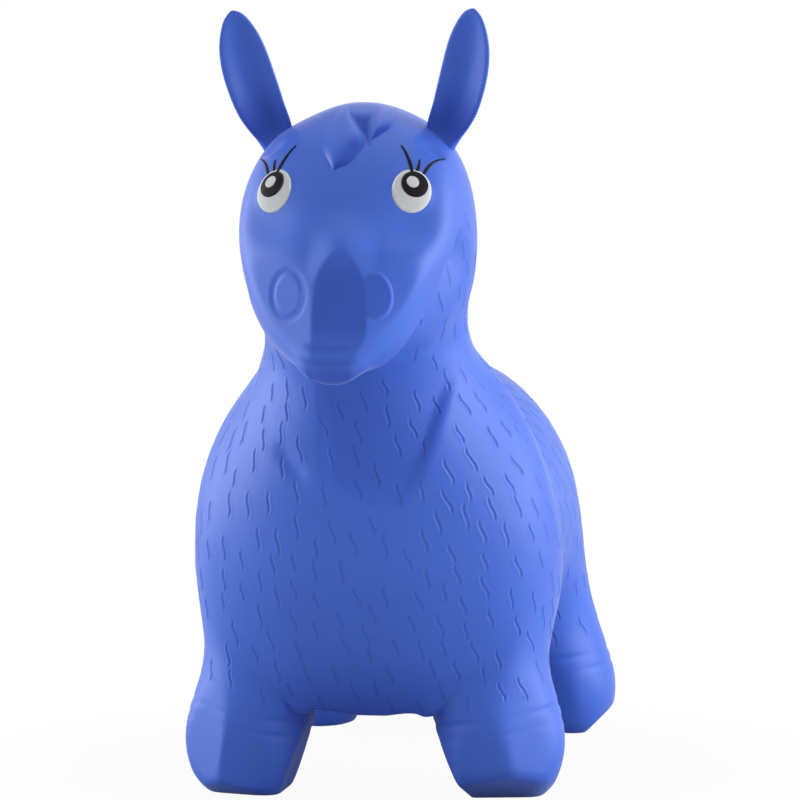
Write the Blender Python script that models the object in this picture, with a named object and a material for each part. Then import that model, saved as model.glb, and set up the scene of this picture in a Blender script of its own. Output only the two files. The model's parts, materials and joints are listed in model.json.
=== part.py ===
"""Inflatable bouncy ride-on horse: one moulded vinyl skin, parted where it flexes, and its air plug.

Metres, +Z up. The horse faces -Y and its left side is +X. The soles stand on Z = 0.
"""
import math
from collections import namedtuple

import bmesh
import bpy
from mathutils import Matrix, Vector

# The whole horse: across the chest, from muzzle to tail, and from sole to ear tip
WIDTH = 0.2647
LENGTH = 0.5607
HEIGHT = 0.5354

# Gap left where two sections of the skin part
PARTING = 0.0003

# The form is drawn in shares of the whole: x of the width, y of the length, z of the height.

# One ring of the skin: its top and bottom points on the middle plane, its half width, and how much
# fuller it is towards the top.
Ring = namedtuple("Ring", "top_y top_z low_y low_z half_width fullness")

RUMP_POLE = (0.4084, 0.3511)
TAIL_HEAD = Ring(0.3656, 0.4819, 0.3727, 0.2055, 0.2682, -0.10)
RUMP = Ring(0.2640, 0.5454, 0.2711, 0.1457, 0.3891, -0.16)
HIP = Ring(0.1284, 0.5379, 0.1391, 0.1494, 0.4042, -0.16)
SADDLE = Ring(-0.0143, 0.5006, -0.0054, 0.1606, 0.3891, -0.12)
GIRTH = Ring(-0.1177, 0.5230, -0.1569, 0.1345, 0.4269, -0.12)
SHOULDER = Ring(-0.1748, 0.5547, -0.2711, 0.0915, 0.4685, -0.12)
CHEST = Ring(-0.2033, 0.5771, -0.3763, 0.1532, 0.4647, -0.12)
BREAST = Ring(-0.2158, 0.6014, -0.4352, 0.2839, 0.4231, -0.12)
NECK_BASE = Ring(-0.2229, 0.6350, -0.4423, 0.4202, 0.2947, -0.18)
NECK = Ring(-0.2265, 0.6873, -0.4459, 0.5323, 0.2569, 0.00)
JOWL = Ring(-0.2265, 0.7564, -0.4851, 0.5566, 0.2720, 0.06)
POLL = Ring(-0.2443, 0.8274, -0.5243, 0.5473, 0.2890, 0.14)
CROWN = Ring(-0.3139, 0.8872, -0.5529, 0.5510, 0.2871, 0.20)
FOREHEAD = Ring(-0.3959, 0.8872, -0.5671, 0.5603, 0.2645, 0.22)
BROW = Ring(-0.4637, 0.8330, -0.5761, 0.5753, 0.2342, 0.16)
NOSE_BRIDGE = Ring(-0.5136, 0.7620, -0.5814, 0.5902, 0.2078, 0.08)
NOSTRILS = Ring(-0.5457, 0.7060, -0.5814, 0.6070, 0.1587, 0.00)
NOSE_POLE = (-0.5743, 0.6537)
RINGS = (TAIL_HEAD, RUMP, HIP, SADDLE, GIRTH, SHOULDER, CHEST, BREAST, NECK_BASE, NECK,
         JOWL, POLL, CROWN, FOREHEAD, BROW, NOSE_BRIDGE, NOSTRILS)

# One ring of a leg: its height, how steeply it rises to the outside, its middle and half sizes.
LegRing = namedtuple("LegRing", "z rise x y half_x half_y")

FRONT_LEG = (LegRing(0.1438, 0.50, 0.2909, -0.2800, 0.1454, 0.0874),
             LegRing(0.1046, 0.20, 0.3211, -0.2854, 0.1624, 0.0820),
             LegRing(0.0672, 0.05, 0.3381, -0.2907, 0.1681, 0.0856),
             LegRing(0.0261, 0.00, 0.3343, -0.2925, 0.1530, 0.0803),
             LegRing(-0.0149, 0.00, 0.3230, -0.2925, 0.1133, 0.0669))
REAR_LEG = (LegRing(0.1532, 0.50, 0.2871, 0.2604, 0.1436, 0.0874),
            LegRing(0.1121, 0.20, 0.3381, 0.2675, 0.1341, 0.0803),
            LegRing(0.0691, 0.05, 0.3816, 0.2711, 0.1209, 0.0820),
            LegRing(0.0261, 0.00, 0.3816, 0.2729, 0.1077, 0.0767),
            LegRing(-0.0149, 0.00, 0.3721, 0.2729, 0.0888, 0.0633))

# Where the neck parts from the torso and from the head, as two points (y, z) of each cut.
NECK_CUT = ((-0.4370, 0.4894), (-0.2176, 0.6014))
HEAD_CUT = ((-0.4494, 0.5603), (-0.2265, 0.7938))
NOD_AXIS = (-0.3389, 0.6257)

# Where a leg parts from the torso and its hoof from the leg: height at the inside and how steeply the cut
# rises to the outside.
CUT_INSIDE = 0.1284
FRONT_LEG_CUT = (0.1121, 0.50)
FRONT_HOOF_CUT = (0.0850, 0.20)
REAR_LEG_CUT = (0.1345, 0.50)
REAR_HOOF_CUT = (0.0878, 0.20)
LEG_CUT_INNER = 0.0302
MID_BODY = 0.0357

# Ear, in shares of its own length: one ring is the way along it, its half width and half thickness.
EarRing = namedtuple("EarRing", "along half_width half_thick")
EAR_ROOT = (0.2172, -0.3852, 0.8293)
EAR_TIP = (0.3155, -0.4316, 1.0022)
EAR_RINGS = (EarRing(-0.1405, 0.1054, 0.0803),
             EarRing(0.0201, 0.1104, 0.0803),
             EarRing(0.2007, 0.1255, 0.0783),
             EarRing(0.4215, 0.1556, 0.0783),
             EarRing(0.6424, 0.1686, 0.0743),
             EarRing(0.8431, 0.1355, 0.0602),
             EarRing(0.9635, 0.0652, 0.0401))
EAR_BUTT = -0.16
EAR_CUP = 1.10
EAR_BEND = 0.20

# Mane, forelock and tail: middles (x, y, z) along each lock, with half width and half height.
Lock = namedtuple("Lock", "x y z half_width half_height")
MANE = (Lock(0.0000, -0.3317, 0.8853, 0.0378, 0.0112),
        Lock(0.0000, -0.2854, 0.8666, 0.0529, 0.0187),
        Lock(0.0000, -0.2461, 0.8069, 0.0567, 0.0205),
        Lock(0.0000, -0.2301, 0.7284, 0.0567, 0.0205),
        Lock(0.0000, -0.2229, 0.6575, 0.0529, 0.0205),
        Lock(0.0000, -0.2015, 0.5902, 0.0453, 0.0149),
        Lock(0.0000, -0.1712, 0.5473, 0.0264, 0.0075))
FORELOCK = (Lock(0.0000, -0.3424, 0.8835, 0.0718, 0.0112),
            Lock(-0.0076, -0.3959, 0.8760, 0.0680, 0.0149),
            Lock(-0.0189, -0.4387, 0.8517, 0.0453, 0.0131),
            Lock(-0.0340, -0.4708, 0.8256, 0.0151, 0.0056))
TAIL = (Lock(0.0000, 0.3389, 0.4838, 0.0378, 0.0112),
        Lock(0.0000, 0.3781, 0.4539, 0.0604, 0.0205),
        Lock(0.0000, 0.3995, 0.3885, 0.0718, 0.0243),
        Lock(0.0000, 0.3959, 0.3250, 0.0604, 0.0224),
        Lock(0.0000, 0.3781, 0.2727, 0.0302, 0.0131))

LOCK_TIP = 0.3

# Printed eyes: the middle's share of the width, and how far it lies under the crown
EYE_X = 0.1753
EYE_DROP = 0.0605
EYE_TURN = math.radians(32)
EYE_RISE = math.radians(20)
EYE_HALF_WIDTH = 0.0140
EYE_HALF_HEIGHT = 0.0155
EYE_THICK = 0.0008
EYE_REACH = 0.030

# Air plug under the belly, on a seat let into the skin
VALVE_Y = 0.0535
SEAT_DEPTH = 0.0020
SEAT_Z = HEIGHT * SADDLE.low_z + SEAT_DEPTH
PLUG_RADIUS = 0.0054
PLUG_LENGTH = 0.015
PLUG_LEAD = 0.0016
PLUG_HEAD_RADIUS = 0.0110
PLUG_HEAD_THICK = 0.0026
PLUG_KNOB_RADIUS = 0.0042
PLUG_KNOB_HEIGHT = 0.0024
PLUG_FIT = 0.0003
SEAT_MARGIN = 0.0012
BORE_DEPTH = 0.018

SKIN_BLUE = (0.065, 0.125, 0.560, 1)
EYE_WHITE = (0.800, 0.810, 0.820, 1)
PLUG_WHITE = (0.750, 0.760, 0.780, 1)

RING_POINTS = 12
LEG_POINTS = 8
LOCK_POINTS = 8
ROUND_POINTS = 32
FAR = 0.6
KEEP_DETAIL = 0.38


def ring_gain(points):
    """How much larger a cage ring is than the round it is smoothed to."""
    return 6 / (4 + 2 * math.cos(2 * math.pi / points))


def new_object(name, mesh):
    obj = bpy.data.objects.new(name, mesh)
    bpy.context.scene.collection.objects.link(obj)
    return obj


def spot(x, y, z):
    """A point drawn in shares of the whole."""
    return Vector((WIDTH * x, LENGTH * y, HEIGHT * z))


def spine_ring(ring):
    top = spot(0, ring.top_y, ring.top_z)
    middle = (top + spot(0, ring.low_y, ring.low_z)) / 2
    rise = top - middle
    gain = ring_gain(RING_POINTS)
    points = []
    for k in range(RING_POINTS):
        angle = 2 * math.pi * (k + 0.5) / RING_POINTS
        side = spot(ring.half_width * math.sin(angle) * (1 + ring.fullness * math.cos(angle)), 0, 0)
        points.append(middle + gain * (side + rise * math.cos(angle)))
    return points


def leg_ring(ring, side):
    gain = ring_gain(LEG_POINTS)
    points = []
    for k in range(LEG_POINTS):
        angle = 2 * math.pi * (k + 1) / LEG_POINTS
        out = WIDTH * gain * ring.half_x * math.cos(angle)
        middle = spot(ring.x, ring.y + gain * ring.half_y * math.sin(angle), ring.z)
        points.append(Vector((side * (middle.x + out), middle.y, middle.z + ring.rise * out)))
    return points


def skin_cage():
    """The whole skin as one cage: a tube from rump to nose with four legs drawn from its underside."""
    cage = bmesh.new()
    grid = [[cage.verts.new(p) for p in spine_ring(ring)] for ring in RINGS]
    roots = []
    for legs, row in ((FRONT_LEG, RINGS.index(GIRTH)), (REAR_LEG, RINGS.index(TAIL_HEAD))):
        for side in (1, -1):
            roots.append((legs, row, side))
    open_cells = set()
    for legs, row, side in roots:
        columns = (3, 4, 5) if side > 0 else (8, 7, 6)
        for r in (row, row + 1):
            for c in (0, 1):
                open_cells.add((r, min(columns[c], columns[c + 1])))
        loop = [grid[row][columns[0]], grid[row][columns[1]], grid[row][columns[2]],
                grid[row + 1][columns[2]], grid[row + 2][columns[2]], grid[row + 2][columns[1]],
                grid[row + 2][columns[0]], grid[row + 1][columns[0]]]
        for ring in legs:
            new = [cage.verts.new(p) for p in leg_ring(ring, side)]
            for k in range(LEG_POINTS):
                cage.faces.new((loop[k - 1], loop[k], new[k], new[k - 1]))
            loop = new
        cage.faces.new(loop)
    for r in range(len(grid) - 1):
        for k in range(RING_POINTS):
            if (r, k) not in open_cells:
                n = (k + 1) % RING_POINTS
                cage.faces.new((grid[r][k], grid[r][n], grid[r + 1][n], grid[r + 1][k]))
    for ring, pole in ((grid[0], RUMP_POLE), (grid[-1], NOSE_POLE)):
        tip = cage.verts.new(spot(0, pole[0], pole[1]))
        for k in range(RING_POINTS):
            cage.faces.new((ring[k - 1], ring[k], tip))
    loose = [v for v in cage.verts if not v.link_faces]
    bmesh.ops.delete(cage, geom=loose, context="VERTS")
    return mesh_from("skin_cage", cage)


def applied(obj):
    """The object's mesh with its modifiers worked in."""
    graph = bpy.context.evaluated_depsgraph_get()
    return bpy.data.meshes.new_from_object(obj.evaluated_get(graph))


def mesh_from(name, work):
    bmesh.ops.recalc_face_normals(work, faces=work.faces)
    mesh = bpy.data.meshes.new(name)
    work.to_mesh(mesh)
    work.free()
    return mesh


def guide(obj):
    obj.hide_render = True
    obj.display_type = "WIRE"
    return obj


def smoothed(obj, levels):
    smooth = obj.modifiers.new("smooth", "SUBSURF")
    smooth.levels = smooth.render_levels = levels
    return obj


def cut(obj, tool, operation):
    boolean = obj.modifiers.new(operation.lower() + "_" + tool.name, "BOOLEAN")
    boolean.operation = operation
    boolean.object = tool
    boolean.solver = "EXACT"
    return obj


def loft(name, rings, tips, levels):
    """A closed tube through the rings, with a point beyond each end."""
    work = bmesh.new()
    grid = [[work.verts.new(p) for p in ring] for ring in rings]
    count = len(grid[0])
    for low, high in zip(grid, grid[1:]):
        for k in range(count):
            work.faces.new((low[k - 1], low[k], high[k], high[k - 1]))
    for ring, tip in ((grid[0], tips[0]), (grid[-1], tips[1])):
        point = work.verts.new(tip)
        for k in range(count):
            work.faces.new((ring[k - 1], ring[k], point))
    return smoothed(new_object(name, mesh_from(name, work)), levels)


def lock_loft(name, locks):
    """A lock of hair lying along the middle plane: each ring stands square to the lock's run."""
    middles = [spot(lock.x, lock.y, lock.z) for lock in locks]
    gain = ring_gain(LOCK_POINTS)
    rings = []
    for i, lock in enumerate(locks):
        run = (middles[min(i + 1, len(locks) - 1)] - middles[max(i - 1, 0)]).normalized()
        side = (Vector((1, 0, 0)) - run * run.x).normalized()
        out = side.cross(run)
        ring = []
        for k in range(LOCK_POINTS):
            angle = 2 * math.pi * k / LOCK_POINTS
            ring.append(middles[i] + gain * (side * WIDTH * lock.half_width * math.cos(angle)
                                             + out * HEIGHT * lock.half_height * math.sin(angle)))
        rings.append(ring)
    root = middles[0] + (middles[0] - middles[1]) * LOCK_TIP
    tip = middles[-1] + (middles[-1] - middles[-2]) * LOCK_TIP
    return guide(loft(name, rings, (root, tip), 1))


def prism(name, profile, along, start, end):
    """A block with the profile drawn square to the axis along, from start to end on that axis."""
    work = bmesh.new()
    ends = []
    for depth in (start, end):
        if along == "X":
            ends.append([work.verts.new((depth, a, b)) for a, b in profile])
        else:
            ends.append([work.verts.new((a, depth, b)) for a, b in profile])
    count = len(profile)
    for k in range(count):
        work.faces.new((ends[0][k - 1], ends[0][k], ends[1][k], ends[1][k - 1]))
    work.faces.new(ends[0])
    work.faces.new(ends[1])
    return guide(new_object(name, mesh_from(name, work)))


def above_cut(name, line, gap):
    """The block in front of and above a cut across the neck, raised by the gap."""
    (low_y, low_z), (high_y, high_z) = [(LENGTH * y, HEIGHT * z) for y, z in line]
    slope = (high_z - low_z) / (high_y - low_y)
    lift = gap * math.hypot(1, slope)
    front, back = low_y - FAR, high_y + FAR
    profile = [(front, low_z + slope * (front - low_y) + lift),
               (back, low_z + slope * (back - low_y) + lift),
               (back, low_z + 2 * FAR), (front, low_z + 2 * FAR)]
    return prism(name, profile, "X", -FAR, FAR)


def below_cut(name, line, side, ends, floor, gap):
    """The block of one leg under a cut that rises to the outside, lowered by the gap."""
    inside, rise = line
    drop = gap * math.hypot(1, rise)
    start = WIDTH * CUT_INSIDE
    inner, outer = WIDTH * LEG_CUT_INNER, FAR / 2
    profile = [(side * inner, floor), (side * outer, floor),
               (side * outer, HEIGHT * inside + rise * (outer - start) - drop),
               (side * inner, HEIGHT * inside + rise * (inner - start) - drop)]
    return prism(name, profile, "Y", ends[0], ends[1])


def turned(name, profile, middle):
    """A body turned about the upright line through middle, from (radius, z) points."""
    work = bmesh.new()
    rings = []
    for radius, z in profile:
        ring = []
        for k in range(ROUND_POINTS):
            angle = 2 * math.pi * k / ROUND_POINTS
            ring.append(work.verts.new((middle[0] + radius * math.cos(angle),
                                        middle[1] + radius * math.sin(angle), z)))
        rings.append(ring)
    for low, high in zip(rings, rings[1:]):
        for k in range(ROUND_POINTS):
            work.faces.new((low[k - 1], low[k], high[k], high[k - 1]))
    work.faces.new(rings[0])
    work.faces.new(rings[-1])
    return new_object(name, mesh_from(name, work))


def material(name, colour, roughness):
    mat = bpy.data.materials.new(name)
    mat.use_nodes = True
    shader = mat.node_tree.nodes["Principled BSDF"]
    shader.inputs["Base Color"].default_value = colour
    shader.inputs["Roughness"].default_value = roughness
    return mat


def node(name, source, steps, pivot, colour, roughness=0.5):
    """One named piece: the source mesh worked by the steps, with its origin on the pivot."""
    blank = new_object(name + "_blank", source)
    for tool, operation in steps:
        cut(blank, tool, operation)
    mesh = applied(blank)
    bpy.data.objects.remove(blank)
    mesh.name = name
    mesh.transform(Matrix.Translation(-Vector(pivot)))
    mesh.materials.clear()
    mesh.materials.append(material(name, colour, roughness))
    mesh.polygons.foreach_set("use_smooth", [True] * len(mesh.polygons))
    obj = new_object(name, mesh)
    obj.location = pivot
    return obj


def ear_blank(name, side):
    root = spot(side * EAR_ROOT[0], EAR_ROOT[1], EAR_ROOT[2])
    tip = spot(side * EAR_TIP[0], EAR_TIP[1], EAR_TIP[2])
    run = tip - root
    size = run.length
    across = (Vector((1, 0, 0)) - run * run.x / size ** 2).normalized() * size
    front = across.cross(run) / size
    if front.y > 0:
        front = -front
    gain = ring_gain(LOCK_POINTS)
    rings = []
    for ring in EAR_RINGS:
        cup = EAR_CUP if ring.along > EAR_BEND else 0
        points = []
        for k in range(LOCK_POINTS):
            angle = 2 * math.pi * k / LOCK_POINTS
            depth = math.sin(angle)
            if k == LOCK_POINTS // 4:
                depth -= cup
            points.append(root + run * ring.along + gain * (across * ring.half_width * math.cos(angle)
                                                            + front * ring.half_thick * depth))
        rings.append(points)
    form = guide(loft(name, rings, (root + run * EAR_BUTT, tip), 1))
    return form, root, run, across, front


def slab(name, middle, run, across, front, start, end):
    """A block across an ear, between two shares of its length."""
    work = bmesh.new()
    corners = []
    for along in (start, end):
        corners.append([work.verts.new(middle + run * along + across * a / 2 + front * b / 2)
                        for a, b in ((-1, -1), (1, -1), (1, 1), (-1, 1))])
    for k in range(4):
        work.faces.new((corners[0][k - 1], corners[0][k], corners[1][k], corners[1][k - 1]))
    work.faces.new(corners[0])
    work.faces.new(corners[1])
    return guide(new_object(name, mesh_from(name, work)))


def grown(name, mesh, amount):
    """A copy of the mesh swollen by amount."""
    obj = guide(new_object(name, mesh.copy()))
    swell = obj.modifiers.new("swell", "DISPLACE")
    swell.strength = amount
    swell.mid_level = 0
    return obj


for old in list(bpy.data.objects):
    bpy.data.objects.remove(old)

# The whole skin, with its hair
body = smoothed(guide(new_object("body_form", skin_cage())), 2)
thin = body.modifiers.new("thin", "DECIMATE")
thin.ratio = KEEP_DETAIL
thin.use_symmetry = True
thin.symmetry_axis = "X"
bare = applied(body)
plain = guide(new_object("plain_skin", bare))
whole = guide(new_object("whole_skin", bare.copy()))
for name, locks in (("mane_form", MANE), ("forelock_form", FORELOCK), ("tail_form", TAIL)):
    cut(whole, lock_loft(name, locks), "UNION")
skin = applied(whole)

# Torso, neck and head
valve = (0, LENGTH * VALVE_Y)
seat_radius = PLUG_HEAD_RADIUS + SEAT_MARGIN
seat = guide(turned("seat_form", [(seat_radius, 0), (seat_radius, SEAT_Z)], valve))
bore_radius = PLUG_RADIUS + PLUG_FIT
bore = guide(turned("bore_form", [(bore_radius, 0), (bore_radius, SEAT_Z + BORE_DEPTH)], valve))
neck_side = above_cut("neck_side", NECK_CUT, 0)
neck_keep = above_cut("neck_keep", NECK_CUT, PARTING)
head_side = above_cut("head_side", HEAD_CUT, 0)
head_keep = above_cut("head_keep", HEAD_CUT, PARTING)
legs = []
mid_body = LENGTH * MID_BODY
for place, leg_cut, hoof_cut, ends, rings in (
        ("front", FRONT_LEG_CUT, FRONT_HOOF_CUT, (-FAR, -mid_body), FRONT_LEG),
        ("rear", REAR_LEG_CUT, REAR_HOOF_CUT, (mid_body, FAR), REAR_LEG)):
    for hand, side in (("left", 1), ("right", -1)):
        legs.append((place + "_" + hand, side, leg_cut, hoof_cut, ends, rings[-1]))

nodes = []
torso_steps = [(neck_side, "DIFFERENCE"), (seat, "DIFFERENCE"), (bore, "DIFFERENCE")]
for name, side, leg_cut, hoof_cut, ends, sole in legs:
    torso_steps.append((below_cut(name + "_leg_side", leg_cut, side, ends, -FAR, 0), "DIFFERENCE"))
nodes.append(node("torso", skin.copy(), torso_steps, (0, 0, 0), SKIN_BLUE))
neck_steps = [(neck_keep, "INTERSECT"), (head_side, "DIFFERENCE")]
nodes.append(node("neck", skin.copy(), neck_steps, (0, 0, 0), SKIN_BLUE))
nod = spot(0, NOD_AXIS[0], NOD_AXIS[1])
nodes.append(node("head", skin.copy(), [(head_keep, "INTERSECT")], nod, SKIN_BLUE))

# Legs and hooves
for name, side, leg_cut, hoof_cut, ends, sole in legs:
    leg_keep = below_cut(name + "_leg_keep", leg_cut, side, ends, -FAR, PARTING)
    hoof_side = below_cut(name + "_hoof_side", hoof_cut, side, ends, -FAR, 0)
    hoof_keep = below_cut(name + "_hoof_keep", hoof_cut, side, ends, 0, PARTING)
    leg_steps = [(leg_keep, "INTERSECT"), (hoof_side, "DIFFERENCE")]
    nodes.append(node(name + "_leg", skin.copy(), leg_steps, (0, 0, 0), SKIN_BLUE))
    foot = spot(side * sole.x, sole.y, 0)
    nodes.append(node(name + "_hoof", skin.copy(), [(hoof_keep, "INTERSECT")], foot, SKIN_BLUE))

# Ears
near_skin = grown("near_skin", bare, PARTING)
for hand, side in (("left", 1), ("right", -1)):
    form, root, run, across, front = ear_blank(hand + "_ear_form", side)
    ear = applied(form)
    root_block = slab(hand + "_ear_root_block", root, run, across, front, -1, EAR_BEND)
    root_steps = [(near_skin, "DIFFERENCE"), (root_block, "INTERSECT")]
    nodes.append(node(hand + "_ear_root", ear.copy(), root_steps, (0, 0, 0), SKIN_BLUE))
    blade_start = EAR_BEND + PARTING / run.length
    blade_block = slab(hand + "_ear_blade_block", root, run, across, front, blade_start, 2)
    bend = root + run * EAR_BEND / 2
    nodes.append(node(hand + "_ear", ear.copy(), [(blade_block, "INTERSECT")], bend, SKIN_BLUE))

# Eyes
far_skin = grown("far_skin", bare, PARTING + EYE_THICK)
for hand, side in (("left", 1), ("right", -1)):
    aim = Vector((side * math.sin(EYE_TURN) * math.cos(EYE_RISE), -math.cos(EYE_TURN) * math.cos(EYE_RISE),
                  math.sin(EYE_RISE)))
    across = Vector((0, 0, 1)).cross(aim).normalized()
    up = aim.cross(across)
    start = spot(side * EYE_X, 0, CROWN.top_z) + Vector((0, -FAR, -EYE_DROP))
    hit, place, normal, index = plain.ray_cast(start, Vector((0, 1, 0)))
    work = bmesh.new()
    ends = []
    for depth in (-EYE_REACH, EYE_REACH):
        ends.append([work.verts.new(place + aim * depth
                                    + across * EYE_HALF_WIDTH * math.cos(2 * math.pi * k / ROUND_POINTS)
                                    + up * EYE_HALF_HEIGHT * math.sin(2 * math.pi * k / ROUND_POINTS))
                     for k in range(ROUND_POINTS)])
    for k in range(ROUND_POINTS):
        work.faces.new((ends[0][k - 1], ends[0][k], ends[1][k], ends[1][k - 1]))
    work.faces.new(ends[0])
    work.faces.new(ends[1])
    patch = mesh_from(hand + "_eye_patch", work)
    eye_steps = [(far_skin, "INTERSECT"), (near_skin, "DIFFERENCE")]
    nodes.append(node(hand + "_eye", patch, eye_steps, (0, 0, 0), EYE_WHITE, 0.3))

# Air plug
head_top = SEAT_Z - PARTING
head_low = head_top - PLUG_HEAD_THICK
plug = turned("plug_form", [(PLUG_KNOB_RADIUS, head_low - PLUG_KNOB_HEIGHT), (PLUG_KNOB_RADIUS, head_low),
                            (PLUG_HEAD_RADIUS, head_low), (PLUG_HEAD_RADIUS, head_top),
                            (PLUG_RADIUS, head_top), (PLUG_RADIUS, head_top + PLUG_LENGTH - PLUG_LEAD),
                            (PLUG_RADIUS - PLUG_LEAD, head_top + PLUG_LENGTH)], valve)
plug_mesh = plug.data
bpy.data.objects.remove(plug)
nodes.append(node("air_plug", plug_mesh, [], (valve[0], valve[1], head_top), PLUG_WHITE, 0.35))

# Stand the horse over the origin
bpy.context.view_layer.update()
ends = [(obj.matrix_world @ v.co).y for obj in nodes for v in obj.data.vertices]
middle = (min(ends) + max(ends)) / 2
stand = bpy.data.objects.new("horse", None)
bpy.context.scene.collection.objects.link(stand)
stand.location = (0, -middle, 0)
for obj in nodes:
    obj.parent = stand
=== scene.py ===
import json
import math

import bmesh
import bpy
import numpy as np
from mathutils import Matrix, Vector
from mathutils.bvhtree import BVHTree
from mathutils.kdtree import KDTree


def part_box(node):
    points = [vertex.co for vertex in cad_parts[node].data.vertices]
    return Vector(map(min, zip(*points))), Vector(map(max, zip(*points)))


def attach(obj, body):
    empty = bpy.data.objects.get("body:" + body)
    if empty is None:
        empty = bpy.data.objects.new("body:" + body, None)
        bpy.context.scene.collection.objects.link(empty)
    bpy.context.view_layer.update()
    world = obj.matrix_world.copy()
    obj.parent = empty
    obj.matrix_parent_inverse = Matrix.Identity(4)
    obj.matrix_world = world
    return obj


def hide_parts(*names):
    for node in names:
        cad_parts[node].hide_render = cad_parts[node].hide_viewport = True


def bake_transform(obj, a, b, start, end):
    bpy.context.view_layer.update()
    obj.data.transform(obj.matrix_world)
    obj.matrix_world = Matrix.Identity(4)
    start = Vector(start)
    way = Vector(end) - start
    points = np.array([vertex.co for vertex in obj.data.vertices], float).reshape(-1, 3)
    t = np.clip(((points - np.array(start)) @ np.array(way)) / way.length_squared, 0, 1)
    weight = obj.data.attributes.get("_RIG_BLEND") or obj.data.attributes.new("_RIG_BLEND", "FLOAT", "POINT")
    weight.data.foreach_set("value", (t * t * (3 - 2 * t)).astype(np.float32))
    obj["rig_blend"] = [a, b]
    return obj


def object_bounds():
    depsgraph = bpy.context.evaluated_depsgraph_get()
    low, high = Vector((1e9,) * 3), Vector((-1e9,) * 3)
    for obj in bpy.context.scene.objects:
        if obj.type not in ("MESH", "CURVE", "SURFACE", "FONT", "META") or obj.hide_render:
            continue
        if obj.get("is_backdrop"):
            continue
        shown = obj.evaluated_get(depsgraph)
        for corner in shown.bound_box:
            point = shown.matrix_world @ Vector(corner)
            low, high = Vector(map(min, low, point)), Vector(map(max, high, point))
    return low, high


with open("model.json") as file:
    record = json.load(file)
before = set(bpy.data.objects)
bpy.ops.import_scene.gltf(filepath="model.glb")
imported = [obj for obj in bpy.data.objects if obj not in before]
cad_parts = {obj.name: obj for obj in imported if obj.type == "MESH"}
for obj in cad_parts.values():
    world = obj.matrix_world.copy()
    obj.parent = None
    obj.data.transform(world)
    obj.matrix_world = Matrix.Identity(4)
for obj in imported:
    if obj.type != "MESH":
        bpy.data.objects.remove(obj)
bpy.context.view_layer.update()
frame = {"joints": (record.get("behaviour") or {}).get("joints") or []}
scene = bpy.context.scene
scene.view_settings.view_transform = "Standard"
print("frame loaded")


# Node maths: a socket that can be added, multiplied and compared like a number

class Sock:
    def __init__(self, tree, link):
        self.tree = tree
        self.link = link

    def node(self, kind, settings=None, out=0, **sockets):
        made = self.tree.nodes.new(kind)
        for key, value in (settings or {}).items():
            setattr(made, key, value)
        for key, value in sockets.items():
            if key.startswith("in"):
                socket = made.inputs[int(key[2:])]
            else:
                socket = made.inputs[key.replace("_", " ")]
            if isinstance(value, Sock):
                self.tree.links.new(value.link, socket)
            else:
                socket.default_value = value
        return Sock(self.tree, made.outputs[out])

    def maths(self, operation, a, b=0.0):
        return self.node("ShaderNodeMath", {"operation": operation}, in0=a, in1=b)

    def __add__(self, other):
        return self.maths("ADD", self, other)

    def __radd__(self, other):
        return self.maths("ADD", other, self)

    def __sub__(self, other):
        return self.maths("SUBTRACT", self, other)

    def __rsub__(self, other):
        return self.maths("SUBTRACT", other, self)

    def __mul__(self, other):
        return self.maths("MULTIPLY", self, other)

    def __rmul__(self, other):
        return self.maths("MULTIPLY", other, self)

    def __truediv__(self, other):
        return self.maths("DIVIDE", self, other)

    def least(self, other):
        return self.maths("MINIMUM", self, other)

    def most(self, other):
        return self.maths("MAXIMUM", self, other)

    def between(self, low, high):
        return self.node("ShaderNodeMapRange", {"interpolation_type": "SMOOTHSTEP"},
                         Value=self, From_Min=low, From_Max=high)

    def mix(self, first, second):
        return self.node("ShaderNodeMix", {"data_type": "RGBA"}, out=2, in0=self, in6=first, in7=second)


def newMaterial(name):
    mat = bpy.data.materials.new(name)
    mat.use_nodes = True
    tree = mat.node_tree
    shader = tree.nodes["Principled BSDF"]
    return mat, shader, Sock(tree, None)


def feed(shader, sock, name):
    sock.tree.links.new(sock.link, shader.inputs[name])


# Camera, floor and light

view = {"middle": (0.0, 0.0447, 0.275),   # a point in the middle of the horse
        "pixel": (415, 381),              # where the picture shows it
        "turn": 10.0, "rise": 3.2, "away": 2.6,
        "focal": 3560.0, "frame": 800}

turn, rise = math.radians(view["turn"]), math.radians(view["rise"])
back = Vector((math.sin(turn) * math.cos(rise), -math.cos(turn) * math.cos(rise), math.sin(rise)))
right = Vector((math.cos(turn), math.sin(turn), 0))
up = back.cross(right)
perPixel = view["away"] / view["focal"]
eye = Vector(view["middle"]) + back * view["away"]
aim = Vector(view["middle"]) - right * (view["pixel"][0] - view["frame"] / 2) * perPixel
aim -= up * (view["frame"] / 2 - view["pixel"][1]) * perPixel
camData = bpy.data.cameras.new("camera")
camData.sensor_width = 36
camData.lens = camData.sensor_width * view["focal"] / view["frame"]
camData.clip_end = 30
cam = bpy.data.objects.new("camera", camData)
scene.collection.objects.link(cam)
cam.location = eye
cam.rotation_euler = (aim - eye).to_track_quat("-Z", "Y").to_euler()
scene.camera = cam

lamps = {"leftBox": ((-1.50, -0.10, 0.55), 1.6, 27.0),     # place, size, power
         "rightBox": ((1.55, 0.00, 0.60), 1.7, 34.5),
         "topBox": ((0.2, 0.4, 1.9), 1.4, 5.0)}
lampAim = Vector((0, 0, 0.27))

for name, (place, size, power) in lamps.items():
    lampData = bpy.data.lights.new(name, "AREA")
    lampData.shape = "SQUARE"
    lampData.size = size
    lampData.energy = power
    lamp = bpy.data.objects.new(name, lampData)
    scene.collection.objects.link(lamp)
    lamp.location = place
    lamp.rotation_euler = (lampAim - Vector(place)).to_track_quat("-Z", "Y").to_euler()

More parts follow.
